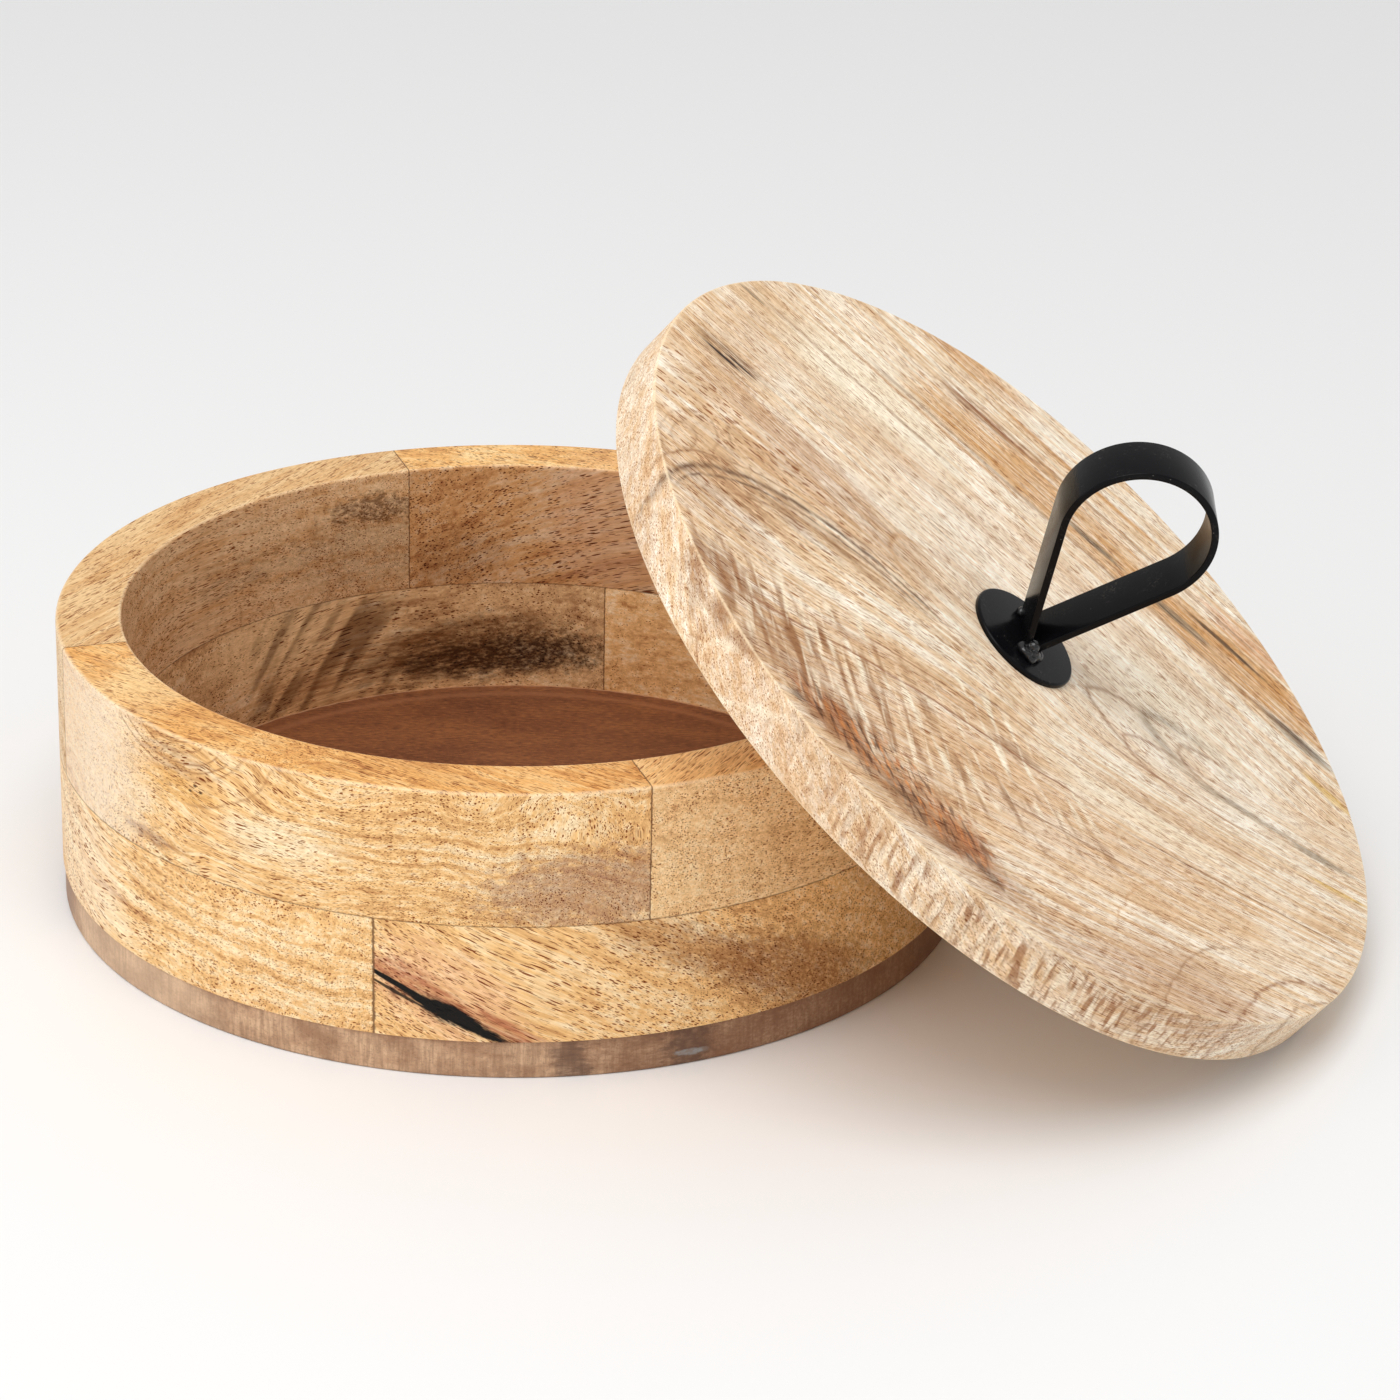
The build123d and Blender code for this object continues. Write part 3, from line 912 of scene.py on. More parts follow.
# %% Wall blocks
def wall_block(name, start, end, bottom, top, top_rounding):
    """The wall's rounded section, turned about the box's axis from joint to joint."""
    outline = ring_section(inner_radius, box_radius, bottom, top,
                           [joint_rounding, joint_rounding, top_rounding, top_rounding])
    angles = np.radians(np.linspace(start, end, round((end - start) / block_step)))
    number = list(planks).index(name)
    angle, tilt, ground, open_pores, inside = planks[name]
    ground = {**wall_ground, **ground, "Seed": (131.0 * number, 57.0 * number, 83.0)}
    material = wall_finish(name, start, end, frames[name], ground, open_pores, (*inside, 1))
    piece = surface(
        name.replace("block", "wall"), turned(outline, angles), material, loop_columns=True, ends=True)
    belongs(piece, "box", "wall_wood", name)


courses = [("lower", lower_joints, base_thickness, seam_height, joint_rounding),
           ("upper", upper_joints, seam_height, box_height, rim_rounding)]
for course, joints, bottom, top, top_rounding in courses:
    for place, start, end in zip(block_places, joints, joints[1:] + [joints[0] + 360]):
        wall_block(f"{course}_block_{place}", start, end, bottom, top, top_rounding)

# %% [markdown]
# ## The base board
# The base is a plain board stained brown, glued under the wall and set in half a millimetre. Its
# edge shows fine upright brush marks, and its floor has a fine close grit and a ring of glue. It
# could share the wall's wood, but the stain hides the grain, so its finish is the stain.

# %% Base board
base_scuffs_and_lid_shadow = [
    patch((-101, -73, 5), (50, 50, 40), paint(226, 196, 164), 0.45, 0.2, 0.6),
    patch((-123, -21, 5), (24, 24, 40), paint(150, 118, 98), 0.8, 0.2, 0.8),
    # Painted shadow of the lid on the right of the base's edge.
    patch((96, -80, 5), (96, 96, 80), paint(120, 78, 50), 0.72, 0.3, 0.7, 0.3),
    patch((20, -123, 5), (7, 9, 14), paint(84, 56, 42), 0.7, 0.3, 1.8),
    patch((50, -114, 5), (9, 9, 14), paint(84, 56, 42), 0.7, 0.3, 1.8),
    patch((50, -113.5, 3.4), (6, 6, 1.2), paint(150, 148, 146), 0.9, 0.5, 1.8),
]


def stained_finish():
    """Brown stain: fine brush marks round the edge, with scuffs and a painted lid shadow on it, and a
    soft cloudy floor.
    """
    material, tree, shader = new_finish("brown_stain")
    place = board_place(tree, Matrix.Identity(4))
    x, y, z = split(place)
    out = from_axis(place)
    unrolled = join(calc("ARCTAN2", y, x) * 125.0, z, out * 0.3)
    brush = cloud(unrolled, (0.9, 9, 5), 3, 0.6)
    patches = cloud(unrolled, (14, 8, 20), 4, 0.65)
    grit = cloud(unrolled, (0.7, 0.5, 0.7), 3, 0.7)
    edge = blend(span(patches, 0.32, 0.68), paint(164, 122, 90), paint(218, 180, 144))
    edge = layered(edge, (span(brush, 0.35, 0.7) * 0.6, paint(142, 104, 74)),
                   (span(grit, 0.5, 0.66) * 0.35, paint(112, 80, 56)))
    edge = add_marks(edge, place, base_scuffs_and_lid_shadow)

    clouds = cloud(place, (30, 11, 30), 3, 0.6)
    grain = cloud(place, (12, 0.7, 3), 3, 0.6)
    grit = cloud(place, (2.6, 0.8, 1.5), 4, 0.7)
    wavy_out = (cloud(place, (5, 5, 5), 4, 0.7) - 0.5) * 1.6 + out
    glue_rings = [
        (span(calc("ABSOLUTE", wavy_out - radius), width, 0.0) * strength, tone)
        for radius, width, strength, tone in ((100.8, 2.6, 0.5, paint(160, 104, 68)),
                                              (107.0, 0.7, 0.85, paint(196, 150, 112)))]
    inside = blend(span(clouds, 0.3, 0.7), paint(114, 64, 34), paint(141, 86, 48))
    inside = layered(inside, (span(grain, 0.35, 0.65) * 0.3, paint(98, 54, 30)),
                     (span(grit, 0.48, 0.68) * 0.7, paint(80, 40, 18)),
                     (span(grit, 0.5, 0.32) * 0.5, paint(168, 108, 62)), *glue_rings)
    colour = blend(span(out, 118.0, 123.0), inside, edge)
    apply_finish(shader, colour, patches * 0.2 + 0.5, brush * 0.6 + grain, 0.00004, {})
    return material


base_outline = ring_section(0, box_radius - base_inset, 0, base_thickness,
                            [0, base_rounding, 0.3 * mm, 0])
base = surface("base_disc", turned(base_outline, full_turn), stained_finish(), loop_rows=True)
belongs(base, "box", "stained_board", "base_board")

# %% [markdown]
# ## The lid board
# The lid is one board whose grain bends: on the right it runs straight, and on the left it
# swings round the place where a branch grew. Straight wood would miss what makes this lid. So
# the board is first read through a drift, which says for each point which fibre it lies on, and
# the wood and every streak are then drawn along the fibres.

# %% The drift of the lid's grain
straight_slope, branch_slope, branch_reach = 0.11, 0.7, 70.0
branch_place, branch_spread, swell_start = -20.0, 0.9, -20.0
swing_limit, swing_blend, lean_inwards = 62.0, 30.0, 1.3
lid_face = -lid_thickness / mm


@effect("branch_drift", {"Place": origin}, {"Place": "Vector"})
def branch_drift(place):
    """The way across grows with the way along: a straight part, and a swing near the branch.

    The swing is full far below the branch's edge and falls off towards it with e to the minus
    distance. It stops growing at a limit along the board.
    """
    x, y, z = split(place)
    below = calc("MAXIMUM", swell_start - x, 0.0)
    beyond = calc("MINIMUM", y - (below * branch_spread + branch_place), 0.0)
    bend = 1.0 - calc("EXPONENT", beyond / branch_reach)
    swung = calc("SMOOTH_MIN", x, swing_limit, swing_blend)
    swing = (z - lid_face) * (bend * lean_inwards) + swung * bend * branch_slope
    return [join(x, x * straight_slope + y + swing, z)]


def fibre_at(across, along):
    """The fibre under a point of the lid's face, by the same formula as the drift."""
    branch_edge = branch_place + branch_spread * max(0, swell_start - along)
    bend = 1 - np.exp(min(0, across - branch_edge) / branch_reach)
    near = max(swing_blend - abs(along - swing_limit), 0) / swing_blend
    swung = min(along, swing_limit) - near**3 * swing_blend / 6
    return float(across + along * straight_slope + swung * bend * branch_slope)


print("fibres", round(fibre_at(-60, 83), 1), round(fibre_at(-27, 28), 1))

# %% [markdown]
# ## The marks of the lid
# A board is recognised by its marks: the bent line at the upper left, the brown lower edge, the
# golden streaks on the far side. Each mark is a row of values: where it lies across and along
# the grain, its size, its tone and its strength. Painted strokes would be quicker, but a row that
# lies wrong is moved by changing two numbers, and the marks run on over the lid's edge.

# %% Marks on the lid, given across and along its grain
curl_lean, line_fade, line_margin, through = -0.97, 14.0, 4, 60.0


def on_fibre(across, along):
    """Place of a point of the lid's face, read along the fibres."""
    return along, fibre_at(across, along), lid_face


def each(mark, *rows):
    """One mark of a kind from each row of values."""
    return [mark(*row) for row in rows]


def lid_smudge(across, along, *row):
    """A smudge on the lid's face, its size given along, across and through the board."""
    return patch(on_fibre(across, along), *row)


def lid_curl(across, along, size, least, tone, strength, width):
    """Strokes across the grain in a region of the lid's face."""
    stroke = (8 * width, width, 33.0)
    return strokes(on_fibre(across, along), size, curl_lean, stroke, least, tone, strength)


def lid_line(across, along, end_along, width, tone, strength):
    """A streak along the fibre that passes through a point, between two places along it."""
    start, end = sorted((along, end_along))
    return (figure_line, tone, strength, {
        "Across": fibre_at(across, (start + end) / 2), "Start": start - line_margin,
        "End": end + line_margin, "Width": width, "Fade": line_fade})


def lid_arch(across, along, spread, width, tone, strength, reach=45.0):
    """An arch that opens downwards from an apex on the lid's face."""
    return (figure_arch, tone, strength, {
        "Apex": on_fibre(across, along), "Spread": spread, "Width": width, "Reach": reach})


def lid_bow(across, along, size_across, size_along, facing, least, width, tone, strength):
    """Part of an oval line round a place on the lid's face, across the fibres."""
    size = (size_along, size_across, through)
    return oval((along, across, lid_face), size, facing, least, width, tone, strength)


def lid_patch(across, along, size, tone, strength):
    """A mottled patch on the lid's face that does not follow the grain."""
    return patch((along, across, lid_face), size, tone, strength, 0.6, 3.0, 0.8)


smoke, rust, grey = paint(156, 108, 66), paint(150, 86, 40), paint(140, 120, 96)
ink, gold, straw = paint(74, 56, 44), paint(208, 146, 70), paint(226, 184, 96)
tan, cream, umber_ink = paint(204, 156, 108), paint(255, 240, 212), paint(48, 30, 20)
edge_brown, dusk = paint(160, 110, 68), paint(112, 78, 52)
print("a streak", lid_line(-65, 70, -40, 0.45, rust, 0.85)[3])

# %% The lid's marks along the fibres
lid_marks = each(
    lid_smudge,  # across, along, size, tone, strength, how stranded, how ragged, how soft
    (24, -16, (130, 60, 60), paint(255, 240, 220), 0.6, 0.3, 1.2, 0.9),
    (-78, 0, (150, 56, 60), paint(216, 170, 124), 0.6, 0.4, 1.2, 0.9),
    (-84, -80, (50, 36, 20), paint(186, 138, 98), 0.7, 0.4, 1.2, 0.9),
    (-24, -54, (48, 20, 60), cream, 0.65, 0.5, 1.2, 0.8),
    (-12, 82, (52, 14, 60), paint(188, 136, 92), 0.7, 0.6, 1.2, 0.9),
    (-14, 46, (30, 13, 60), paint(184, 136, 92), 0.6, 0.6, 1.2, 0.8),
    (50, 72, (44, 30, 60), cream, 0.75, 0.35, 1.2, 0.8),
    (40, -42, (40, 34, 60), cream, 0.5, 0.5, 1.2, 0.8),
    (38, 84, (44, 18, 60), cream, 0.85, 0.5, 1.2, 0.9),
    (10, 108, (24, 74, 60), paint(212, 166, 114), 0.65, 0.5, 1.2, 0.9),
    (-58, 92, (32, 34, 60), paint(204, 158, 112), 0.5, 0.4, 1.2, 0.9),
    (-64, 82, (22, 10, 40), smoke, 0.35, 0.7),
    (-24, 70, (34, 7, 40), tan, 0.7, 0.7),
    (-40, 58, (40, 5, 40), smoke, 0.6, 0.8),
    (-14, -60, (40, 8, 40), tan, 0.6, 0.7),
    (30, 60, (50, 9, 40), tan, 0.45, 0.8),
    (52, -30, (60, 8, 40), tan, 0.45, 0.8),
    (-108, 28, (12, 10, 7), smoke, 0.7, 0.1, 2.6),
    (-108, -14, (12, 10, 7), smoke, 0.7, 0.1, 2.6),
    (-111, -16, (7, 4, 6), ink, 0.7, 0.3, 2.4),
    (-110, 31, (5, 3, 6), ink, 0.5, 0.3, 2.4),
    (-92, 72, (14, 9, 16), smoke, 0.6, 0.35, 2.4),
    (-51, -15, (10, 4, 16), smoke, 0.6, 0.3, 2.2),
) + each(
    lid_curl,  # across, along, size, least, tone, strength, width of a stroke
    (-92, 46, (50, 30, 8), 0.5, smoke, 0.8, 4.4),
    (-72, 14, (84, 38, 60), 0.52, cream, 0.95, 3.2),
    (-74, -22, (44, 22, 60), 0.5, smoke, 0.65, 3.4),
) + each(
    lid_smudge,
    (-1, 108, (15, 7, 30), paint(134, 96, 62), 0.75, 0.9),
    (-3, 109, (9, 1.0, 8), umber_ink, 1.0, 0.2, 0.5),
    (0, 104, (7, 0.8, 8), umber_ink, 1.0, 0.2, 0.5),
    (38, 114, (7, 1.2, 8), ink, 0.7),
    (80, 20, (60, 17, 40), gold, 0.75, 0.8),
    (86, 46, (19, 2.6, 12), smoke, 0.9),
    (84, -50, (54, 16, 40), gold, 0.85, 0.7),
    (92, -66, (40, 7, 40), gold, 0.8, 0.5),
    (103, -56, (24, 8, 40), paint(218, 142, 70), 0.6, 0.7),
    (78, -2, (16, 2.4, 20), grey, 0.85),
    (81, -34, (16, 3, 20), grey, 0.8),
    (91, -50, (16, 1.8, 20), ink, 0.75),
    (78, -82, (17, 4, 20), grey, 0.85),
    (20, -78, (28, 4, 20), grey, 0.6),
    (32, -103, (14, 5, 20), grey, 0.7),
    (24, -111, (14, 3, 20), straw, 0.8),
    (66, -96, (12, 3, 20), straw, 0.8),
    (108, 60, (30, 9, 30), gold, 0.75),
) + each(
    lid_line,  # across, along, to along, width, tone, strength
    (-65, 70, -40, 0.45, rust, 0.85),
    (-61, 52, -10, 2.2, tan, 0.6),
    (-20, -50, -118, 0.5, smoke, 0.85),
    (-64, -16, -60, 0.6, smoke, 0.8),
    (-52, 40, -20, 0.35, rust, 0.7),
    (-34, 10, -60, 0.35, rust, 0.6),
    (-1, -26, -84, 0.7, rust, 0.6),
    (70, 80, -90, 1.1, smoke, 0.6),
    (95, 60, -60, 0.9, smoke, 0.6),
    (88, 60, 18, 0.8, rust, 0.8),
    (91, -34, -68, 0.8, ink, 0.75),
    (77, 8, -14, 0.9, ink, 0.6),
    (80, -22, -46, 1.0, ink, 0.6),
    (79, -66, -98, 1.2, ink, 0.6),
    (104, 44, -20, 1.6, gold, 0.8),
    (70, 70, 0, 1.6, gold, 0.7),
    (60, 100, 20, 1.0, tan, 0.8),
    (45, 110, 40, 0.8, smoke, 0.6),
) + each(
    lid_arch,  # across, along, spread, width, tone, strength, reach
    (7, -22, 7, 0.9, smoke, 0.6),
    (1, -38, 8, 0.8, rust, 0.5),
    (20, -40, 5, 2.2, grey, 0.55, 34.0),
    (20, -52, 6, 1.0, smoke, 0.45, 34.0),
    (-12, 45, 9, 1.0, tan, 0.6, 34.0),
)
print("marks along the fibres", len(lid_marks))

# %% The lid's marks across the fibres
corner = (0.707, 0.707, 0)
lid_bows = each(
    lid_bow,  # across, along, half width, half length, facing, least, width, tone, strength
    (0, 0, 113, 113, (0.14, -0.99, 0), 0.8, 8.5, edge_brown, 0.7),
    (0, 0, 102, 102, (0.3, -0.95, 0), 0.9, 4.5, edge_brown, 0.4),
    (0, 0, 109, 109, (0.25, -0.97, 0), 0.88, 3.5, rust, 0.25),
    (0, 0, 108, 108, (-0.13, -0.99, 0), 0.93, 5.5, rust, 0.3),
) + each(
    lid_patch,  # across, along, size, tone, strength
    (-107, 33, (16, 8, 7), paint(172, 104, 56), 0.8),
    (-111, 20, (12, 4, 7), rust, 0.8),
    (-106, -12, (24, 11, 7), paint(176, 116, 74), 0.7),
    (-107, -18, (9, 5, 7), paint(184, 108, 60), 0.6),
    (-104, -8, (7, 3, 7), paint(184, 112, 62), 0.7),
    (-112, 2, (10, 4, 7), umber_ink, 0.55),
    (-111, -24, (8, 3, 7), umber_ink, 0.6),
    (-113, 40, (5, 3, 7), umber_ink, 0.6),
) + each(
    strokes,  # centre, size, turn, stroke, least, tone, strength, axis
    ((46, -94, -16), (68, 28, 7), -0.9, (26, 3.6, 60), 0.46, edge_brown, 0.8),
    ((30, -88, -16), (60, 26, 7), -1.0, (24, 2.4, 60), 0.52, paint(255, 236, 204), 0.7),
) + each(
    patch,  # centre, size, tone, strength, how stranded, how ragged
    ((-46, -113, -7), (56, 40, 8.5), paint(232, 190, 142), 0.55, 0.2, 0.8),
) + each(
    strokes,
    ((-50, -106, -7), (110, 66, 11), 0.4, (1.6, 1.6, 11), 0.47, paint(164, 112, 72), 0.8, (0, 1, 0)),
    ((-50, -106, -7), (110, 66, 11), 0.3, (2.2, 2.2, 10), 0.5, paint(255, 238, 210), 0.7, (0, 1, 0)),
    ((10, -107, -16), (50, 13, 7), -0.7, (6, 1.7, 60), 0.49, paint(96, 60, 38), 0.85),
    ((4, -106, -16), (42, 12, 7), -0.7, (5, 1.8, 60), 0.51, paint(214, 138, 76), 0.8),
) + each(
    lid_bow,
    (-75.5, 27, 49, 72, corner, 0.6, 1.1, dusk, 0.95),
    (-75.5, 27, 46, 69, corner, 0.64, 0.6, dusk, 0.8),
    (-75.5, 28, 51.5, 76, corner, 0.7, 0.5, smoke, 0.8),
    (-75.5, 30, 41, 60, corner, 0.8, 0.6, smoke, 0.6),
    (-53, 103, 7, 3.4, (0, 0, 0), -0.2, 0.45, smoke, 0.35),
    (-53, 103, 13, 6.6, (1, 0, 0), -0.3, 0.45, smoke, 0.35),
    (-53, 103, 18, 9.5, (-1, 0, 0), 0.2, 0.5, smoke, 0.4),
    (-53, 103, 25, 14, (-1, 0, 0), 0.4, 0.6, smoke, 0.4),
    (-69, -136, 52, 35, (0.9, 0.44, 0), 0.6, 0.6, rust, 0.6),
    (-82, -130, 60, 50, (1, 0.2, 0), 0.8, 0.5, smoke, 0.6),
    (-62, -140, 44, 28, (0.9, 0.44, 0), 0.6, 0.5, smoke, 0.5),
    (-72, -125, 62, 66, (0.9, 0.44, 0), 0.75, 0.5, tan, 0.6),
)
print("marks across the fibres", len(lid_bows))

# %% The lid's wood
lid_board_frame = axes_matrix(upslope, -lid_normal, lid_centre)


def lid_finish():
    """Mango wood read through the drift, with the lid's own marks and sanded edges whose pale also
    paints their highlight.
    """
    material, tree, shader = new_finish("pale_mango_board")
    flat_place = board_place(tree, lid_board_frame)
    place = use(branch_drift, {"Place": flat_place})["Place"]
    wood = mango_wood(place, {
        "Seed": (17.0, 401.0, 88.0), "Wave": (0, 2.4, 0.6), "Heart": (0.0, 6.0, 12.0),
        "Heart Slope": -0.16, "Ring Width": 4.0, "Ring Depth": 0.35, "Tone": 0.3, "Streaks": 0.5,
        "Streak Width": 2.2, "Fine Streaks": 0.6, "Clouds": 1.0, "Pale": paint(255, 243, 222),
        "Warm": paint(236, 202, 160), "Brown": paint(176, 122, 80),
    }, {"Pores": 1.1, "Pore Length": 2.6, "Pore Width": 0.5, "Pore Tone": paint(176, 132, 98),
        "Flecks": 0.5, "Fibre": 1.5, "Ripple": 0.3}, (place, lid_marks), (flat_place, lid_bows))
    colour, turned_place = wood["Color"], board_place(tree, lid_frame)
    for height in (0.0, lid_thickness):
        colour = rubbed_and_highlit(colour, turned_place, lid_radius, height, 0.8, 0.6)
    apply_finish(shader, colour, wood["Roughness"], wood["Height"], wood_relief, wood_shine)
    return material

# %% The lid's shape
lid_outline = rounded_outline(
    [(hole_radius, lid_thickness), (lid_radius, lid_thickness), (lid_radius, 0),
     (recess_radius, 0), (recess_radius, washer_seat), (hole_radius, washer_seat)],
    [0.2 * mm, lid_rounding, lid_rounding, 0.2 * mm, 0.3 * mm, 0.2 * mm],
)
lid = surface(
    "lid_top", turned(lid_outline, full_turn), lid_finish(), True, True, matrix=lid_frame)
belongs(lid, "lid", "lid_wood", "lid_board")

# %% The locating disc
def disc_finish():
    """A plainer mango board with its grain set across the lid's."""
    material, tree, shader = new_finish("disc_mango_board")
    crossed = lid_board_frame @ Matrix.Rotation(radians(64), 4, "Z")
    wood = mango_wood(board_place(tree, crossed), {
        "Seed": (901.0, 33.0, 7.0), "Wave": (0, 4, 1), "Heart": (0.0, -40.0, 50.0),
        "Ring Width": 7.0, "Ring Depth": 0.6, "Tone": 0.45, **wall_tones}, {"Pores": 0.6})
    colour = rubbed_and_highlit(
        wood["Color"], board_place(tree, lid_frame), disc_radius, -disc_thickness, 1.6, 0.5)
    apply_finish(shader, colour, wood["Roughness"], wood["Height"], wood_relief, wood_shine)
    return material


disc_outline = ring_section(recess_radius, disc_radius, 0, -disc_thickness,
                            [0.05 * mm, 0.05 * mm, 1.2 * mm, 0.3 * mm])
disc = surface(
    "lid_disc", turned(disc_outline, full_turn), disc_finish(), True, True, matrix=lid_frame)
belongs(disc, "lid", "disc_wood", "locating_disc")

# %% [markdown]
# ## Black iron
# The handle is flat iron strip, bent, welded to a round plate and powder coated black. The
# powder melts into a skin with a fine orange peel, thicker in hollows, and it hides the steel.
# A plain black would look like plastic, so the skin has its peel as a bump, a shine that varies
# where hands and wood have touched it, and a little dust.

# %% Powder coat
@effect("orange_peel", {"Place": origin, "Peel Size": 0.9}, finish_results)
def orange_peel(place, peel_size):
    """Peel as the height, and two blacks with a film where it was handled and a few specks."""
    sized = put("VectorMath", {0: place, 3: 1.0 / peel_size}, operation="SCALE")[0]
    peel = put("TexNoise", {"Vector": sized, "Scale": 1.0, "Detail": 2.0})[0]
    handled = cloud(place, (9, 9, 9), 3, 0.6)
    specks = put("TexVoronoi", {"Vector": place, "Scale": 0.45})
    lucky = put("SeparateColor", {0: specks["Color"]})[0]
    dust = span(specks["Distance"], 0.09, 0.03) * calc("GREATER_THAN", lucky, 0.7)
    film = cloud(place, (1.1, 1.1, 1.1), 4, 0.7, (3.3, 8.1, 0.7))
    film = span(film, 0.52, 0.72) * span(handled, 0.5, 0.68)
    colour = blend(handled, (0.003, 0.003, 0.004, 1), (0.006, 0.006, 0.007, 1))
    colour = layered(
        colour, (film, (0.05, 0.044, 0.036, 1)), (dust * 0.6, (0.25, 0.24, 0.22, 1)))
    return colour, handled * 0.2 + 0.1, peel


def black_finish(name, peel_size, relief, shine):
    """Black powder coat with a peel of the given size and depth."""
    material, tree, shader = new_finish(name)
    skin = use(orange_peel, {"Place": board_place(tree, handle_frame), "Peel Size": peel_size})
    apply_finish(shader, skin["Color"], skin["Roughness"], skin["Height"], relief,
                 {"Specular IOR Level": shine})
    return material


black_coat = black_finish("black_powder_coat", 0.9, 0.00003, 0.1)
black_weld_coat = black_finish("black_weld_coat", 1.4, 0.00024, 0.6)

# %% The handle's plate
plate_outline = ring_section(0, plate_radius, 0, plate_thickness, [0, 0.15 * mm, 0.7 * mm, 0])
plate_frame = lid_frame @ Matrix.Translation((0, 0, lid_thickness))
plate = surface(
    "plate_disc", turned(plate_outline, full_turn[::3]), black_coat, True, False, plate_frame)
belongs(plate, "lid", "black_iron", "handle_plate")

# %% [markdown]
# ## The teardrop
# The strip leaves its foot as two straight legs that run into a round bow without a kink. Its
# middle line is known, so its outer and inner faces are the same line with a wider and a
# narrower bow about the same centre. The surface lies between the two: one parameter runs round
# the teardrop and the other round the strip's own section.

# %% Outer and inner outline of the teardrop
foot_sink = strip_thickness / 2
bow_centre = np.array([loop_lean, loop_height - bow_radius])
to_foot = np.array([0, -foot_sink]) - bow_centre
foot_distance = np.linalg.norm(to_foot)
foot_way = to_foot / foot_distance
half_opening = np.arcsin((bow_radius - strip_thickness / 2) / foot_distance)


def teardrop(radius, leg_steps=26, bow_steps=90):
    """Closed outline: down one leg to the foot, up the other and round the bow.

    The foot lies on the axis at the radius over the sine of half the legs' opening, and each
    leg touches the bow where the bow's radius is square to it.
    """
    foot = bow_centre + foot_way * radius / np.sin(half_opening)
    first = np.arctan2(foot_way[1], foot_way[0]) - (pi / 2 - half_opening)
    angles = np.linspace(first, first - (pi + 2 * half_opening), bow_steps)
    bow = bow_centre + radius * np.stack([np.cos(angles), np.sin(angles)], axis=-1)
    share = np.linspace(0, 1, leg_steps, endpoint=False)[:, None] ** 0.7
    down = bow[-1] + (foot - bow[-1]) * share
    up = (foot + (bow[0] - foot) * np.linspace(0, 1, leg_steps)[:, None] ** 1.4)[:-1]
    return np.concatenate([bow, down[1:], up])


outer, inner = teardrop(bow_radius), teardrop(bow_radius - strip_thickness)
outer[:, 1] = np.maximum(outer[:, 1], -0.1 * mm)
section = rounded_outline(
    [(0, -strip_width / 2), (strip_thickness, -strip_width / 2),
     (strip_thickness, strip_width / 2), (0, strip_width / 2)],
    strip_rounding, 5,
)
share = (section[:, 0] / strip_thickness)[None, :, None]
flat_part = inner[:, None] * (1 - share) + outer[:, None] * share
wide_part = np.broadcast_to(section[None, :, 1:], (*flat_part.shape[:2], 1))
loop = surface(
    "teardrop_strip", np.concatenate([flat_part, wide_part], axis=-1), black_coat, True, True,
    matrix=handle_frame)
belongs(loop, "lid", "black_iron", "handle_loop")

# %% [markdown]
# ## The welds
# A weld is a row of puddles that froze one over the other, here a lumpy one at the front and a
# smaller one at the back of the foot. Balls stuck together would show creases. So each weld is
# one skin seen from a point inside it: in every direction it reaches as far as the furthest
# ball, and the reaches of the balls are blended so that the creases fill.

# %% Weld skins
def weld_skin(centre, balls, rows=70, columns=120, keen=9.0):
    """Skin round a centre: in each direction the softly blended reach of several balls.

    A ball's reach along a direction is the far root of its crossing: the direction's part
    towards the ball's middle, plus the root of that part squared less the middle's own
    distance squared plus the radius squared. Misses count as no reach.
    """
    tip, round_way = np.meshgrid(
        np.linspace(0, pi, rows), np.linspace(0, 2 * pi, columns, endpoint=False), indexing="ij")
    ways = np.stack(
        [np.sin(tip) * np.cos(round_way), np.cos(tip), np.sin(tip) * np.sin(round_way)], axis=-1)
    middles = np.array([ball[:3] for ball in balls])
    radii = np.array([ball[3] for ball in balls])
    part = ways @ middles.T
    inside = part**2 - (middles**2).sum(axis=1) + radii**2
    reach = np.where(inside > 0, part + np.sqrt(np.maximum(inside, 0)), 0.2)
    blended = (np.maximum(reach, 0.2) ** keen).sum(axis=-1) ** (1 / keen)
    skin = np.array(centre) + blended[..., None] * ways
    skin[..., 1] = np.maximum(skin[..., 1], -0.1)
    return skin * mm


half_width = strip_width / mm / 2
front_skin = weld_skin(
    (0, 0.6, -half_width - 1.0),
    [(-2.2, 0.2, 0.3, 1.9), (2.4, 0.1, 0.2, 1.9), (0.3, 2.1, 0.7, 1.7), (1.3, 0.4, -1.7, 1.6),
     (-0.8, 0.9, -1.3, 1.6), (-0.2, 0.1, -2.7, 1.2), (2.6, 0.6, -1.4, 1.1)])
back_skin = weld_skin(
    (0, 0.6, half_width + 0.5),
    [(-1.7, 0.0, 0.2, 1.8), (1.5, 0.2, 0.3, 1.7), (0.2, 1.9, -0.2, 1.6), (0.0, 0.2, 1.2, 1.5)])
for name, skin in [("front", front_skin), ("back", back_skin)]:
    bead = surface(f"{name}_bead", skin, black_weld_coat, False, True, matrix=handle_frame)
    belongs(bead, "lid", "black_weld", f"{name}_weld")

# %% [markdown]
# ## The fixing under the lid
# A threaded stud passes through the board, and a washer and a nut sit in a recess on its hidden
# side. Threads are tiny, but in the recess they are what tells a bolt from a pin. The thread is
# the same lathe surface with its radius pushed in and out by a wave that climbs with the angle.

# %% Zinc-plated steel
def zinc_finish():
    """Bright zinc: a metal with cloudy grey patches and fine turning marks."""
    material, tree, shader = new_finish("bright_zinc")
    place = board_place(tree, lid_frame)
    patches = cloud(place, (2.5, 2.5, 2.5), 4, 0.6)
    turning_marks = cloud(place, (0.9, 0.9, 0.12), 3, 0.6)
    colour = blend(patches, paint(176, 178, 180), paint(206, 206, 200))
    apply_finish(shader, colour, patches * 0.25 + 0.22, turning_marks, 0.00002, {"Metallic": 1.0})
    return material


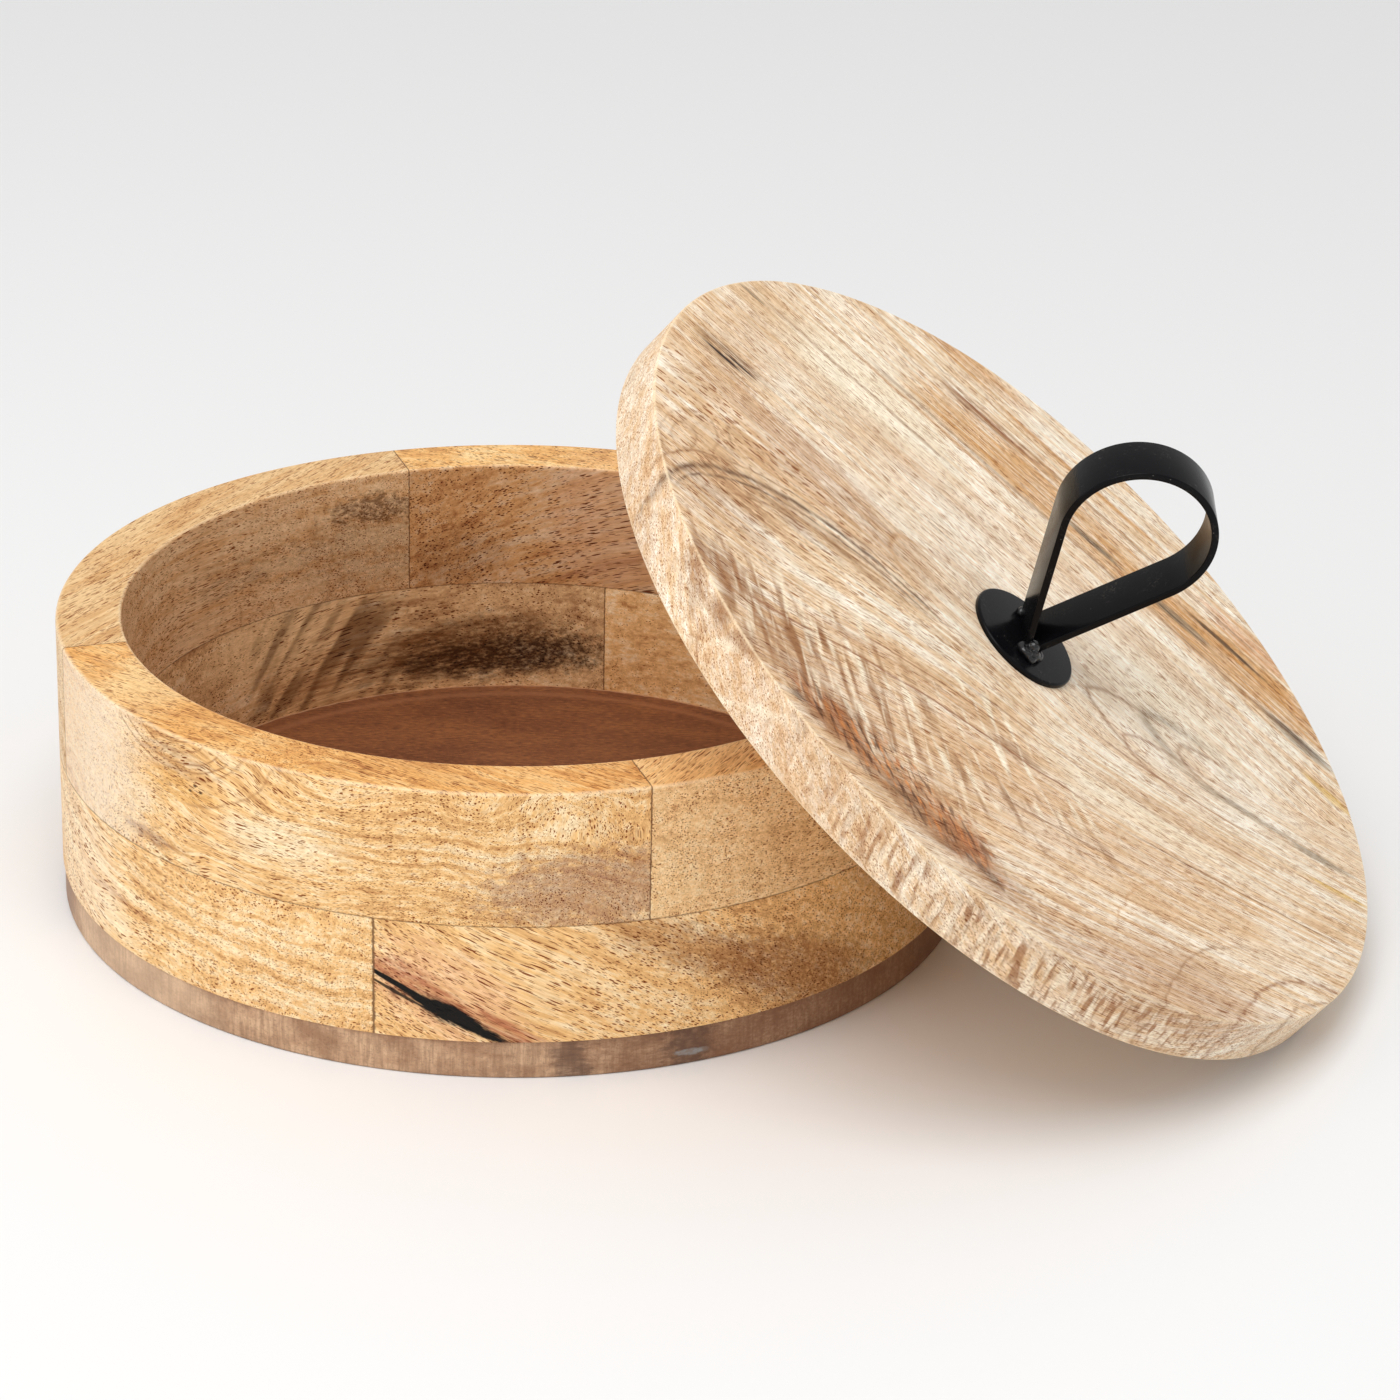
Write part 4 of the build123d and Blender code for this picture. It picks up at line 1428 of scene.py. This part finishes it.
zinc = zinc_finish()
washer_bottom = washer_seat - washer_thickness
nut_bottom = washer_bottom - nut_height
stud_bottom = nut_bottom - stud_end
print("stud from", round(stud_bottom, 5))

# %% Threaded stud, washer and nut
pitch, thread_depth = 1.0 * mm, 0.3 * mm
angles = np.linspace(0, 2 * pi, 48, endpoint=False)[:, None]
heights = np.linspace(stud_bottom, lid_thickness, 240)[None, :]
wave = np.abs(((heights / pitch - angles / (2 * pi)) % 1) * 2 - 1)
end_taper = np.clip((heights - stud_bottom) / (0.6 * mm), 0, 1)
radius = stud_radius - 0.5 * mm * (1 - end_taper) - thread_depth * wave * end_taper
rod = np.stack([radius * np.cos(angles), radius * np.sin(angles), heights + 0 * angles], axis=-1)
tips = np.zeros((len(angles), 1, 3))
rod = np.concatenate([tips + (0, 0, stud_bottom), rod, tips + (0, 0, lid_thickness)], axis=1)
stud = surface("threaded_rod", rod, zinc, True, False, matrix=lid_frame)
belongs(stud, "lid", "zinc_steel", "handle_stud")

washer_outline = rounded_outline(
    [(hole_radius, washer_bottom), (washer_radius, washer_bottom),
     (washer_radius, washer_seat), (hole_radius, washer_seat)],
    0.2 * mm, 5,
)
ring = surface(
    "washer_ring", turned(washer_outline, full_turn[::4]), zinc, True, True, matrix=lid_frame)
belongs(ring, "lid", "zinc_steel", "washer")

nut_angles = np.linspace(0, 2 * pi, 180, endpoint=False)[:, None]
hexagon = nut_flat / np.cos((nut_angles + pi / 6) % (pi / 3) - pi / 6)
level = np.array([0, 0, 0.12, 0.3, 1, 1, 1, 0])[None, :] * nut_height
most = nut_flat * np.array([0, 1.0, 1.09, 1.16, 1.16, 1.16, 0, 0])[None, :]
bore = np.array([1, 0, 0, 0, 0, 0, 1, 1])[None, :] * (stud_radius + 0.15 * mm)
radius = np.minimum(hexagon, np.where(most > 0, most, 1)) * (most > 0) + bore
nut_grid = np.stack([
    radius * np.cos(nut_angles), radius * np.sin(nut_angles),
    nut_bottom + level + 0 * nut_angles], axis=-1)
nut = surface("hexagon_nut", nut_grid, zinc, True, True, matrix=lid_frame)
belongs(nut, "lid", "zinc_steel", "hex_nut")
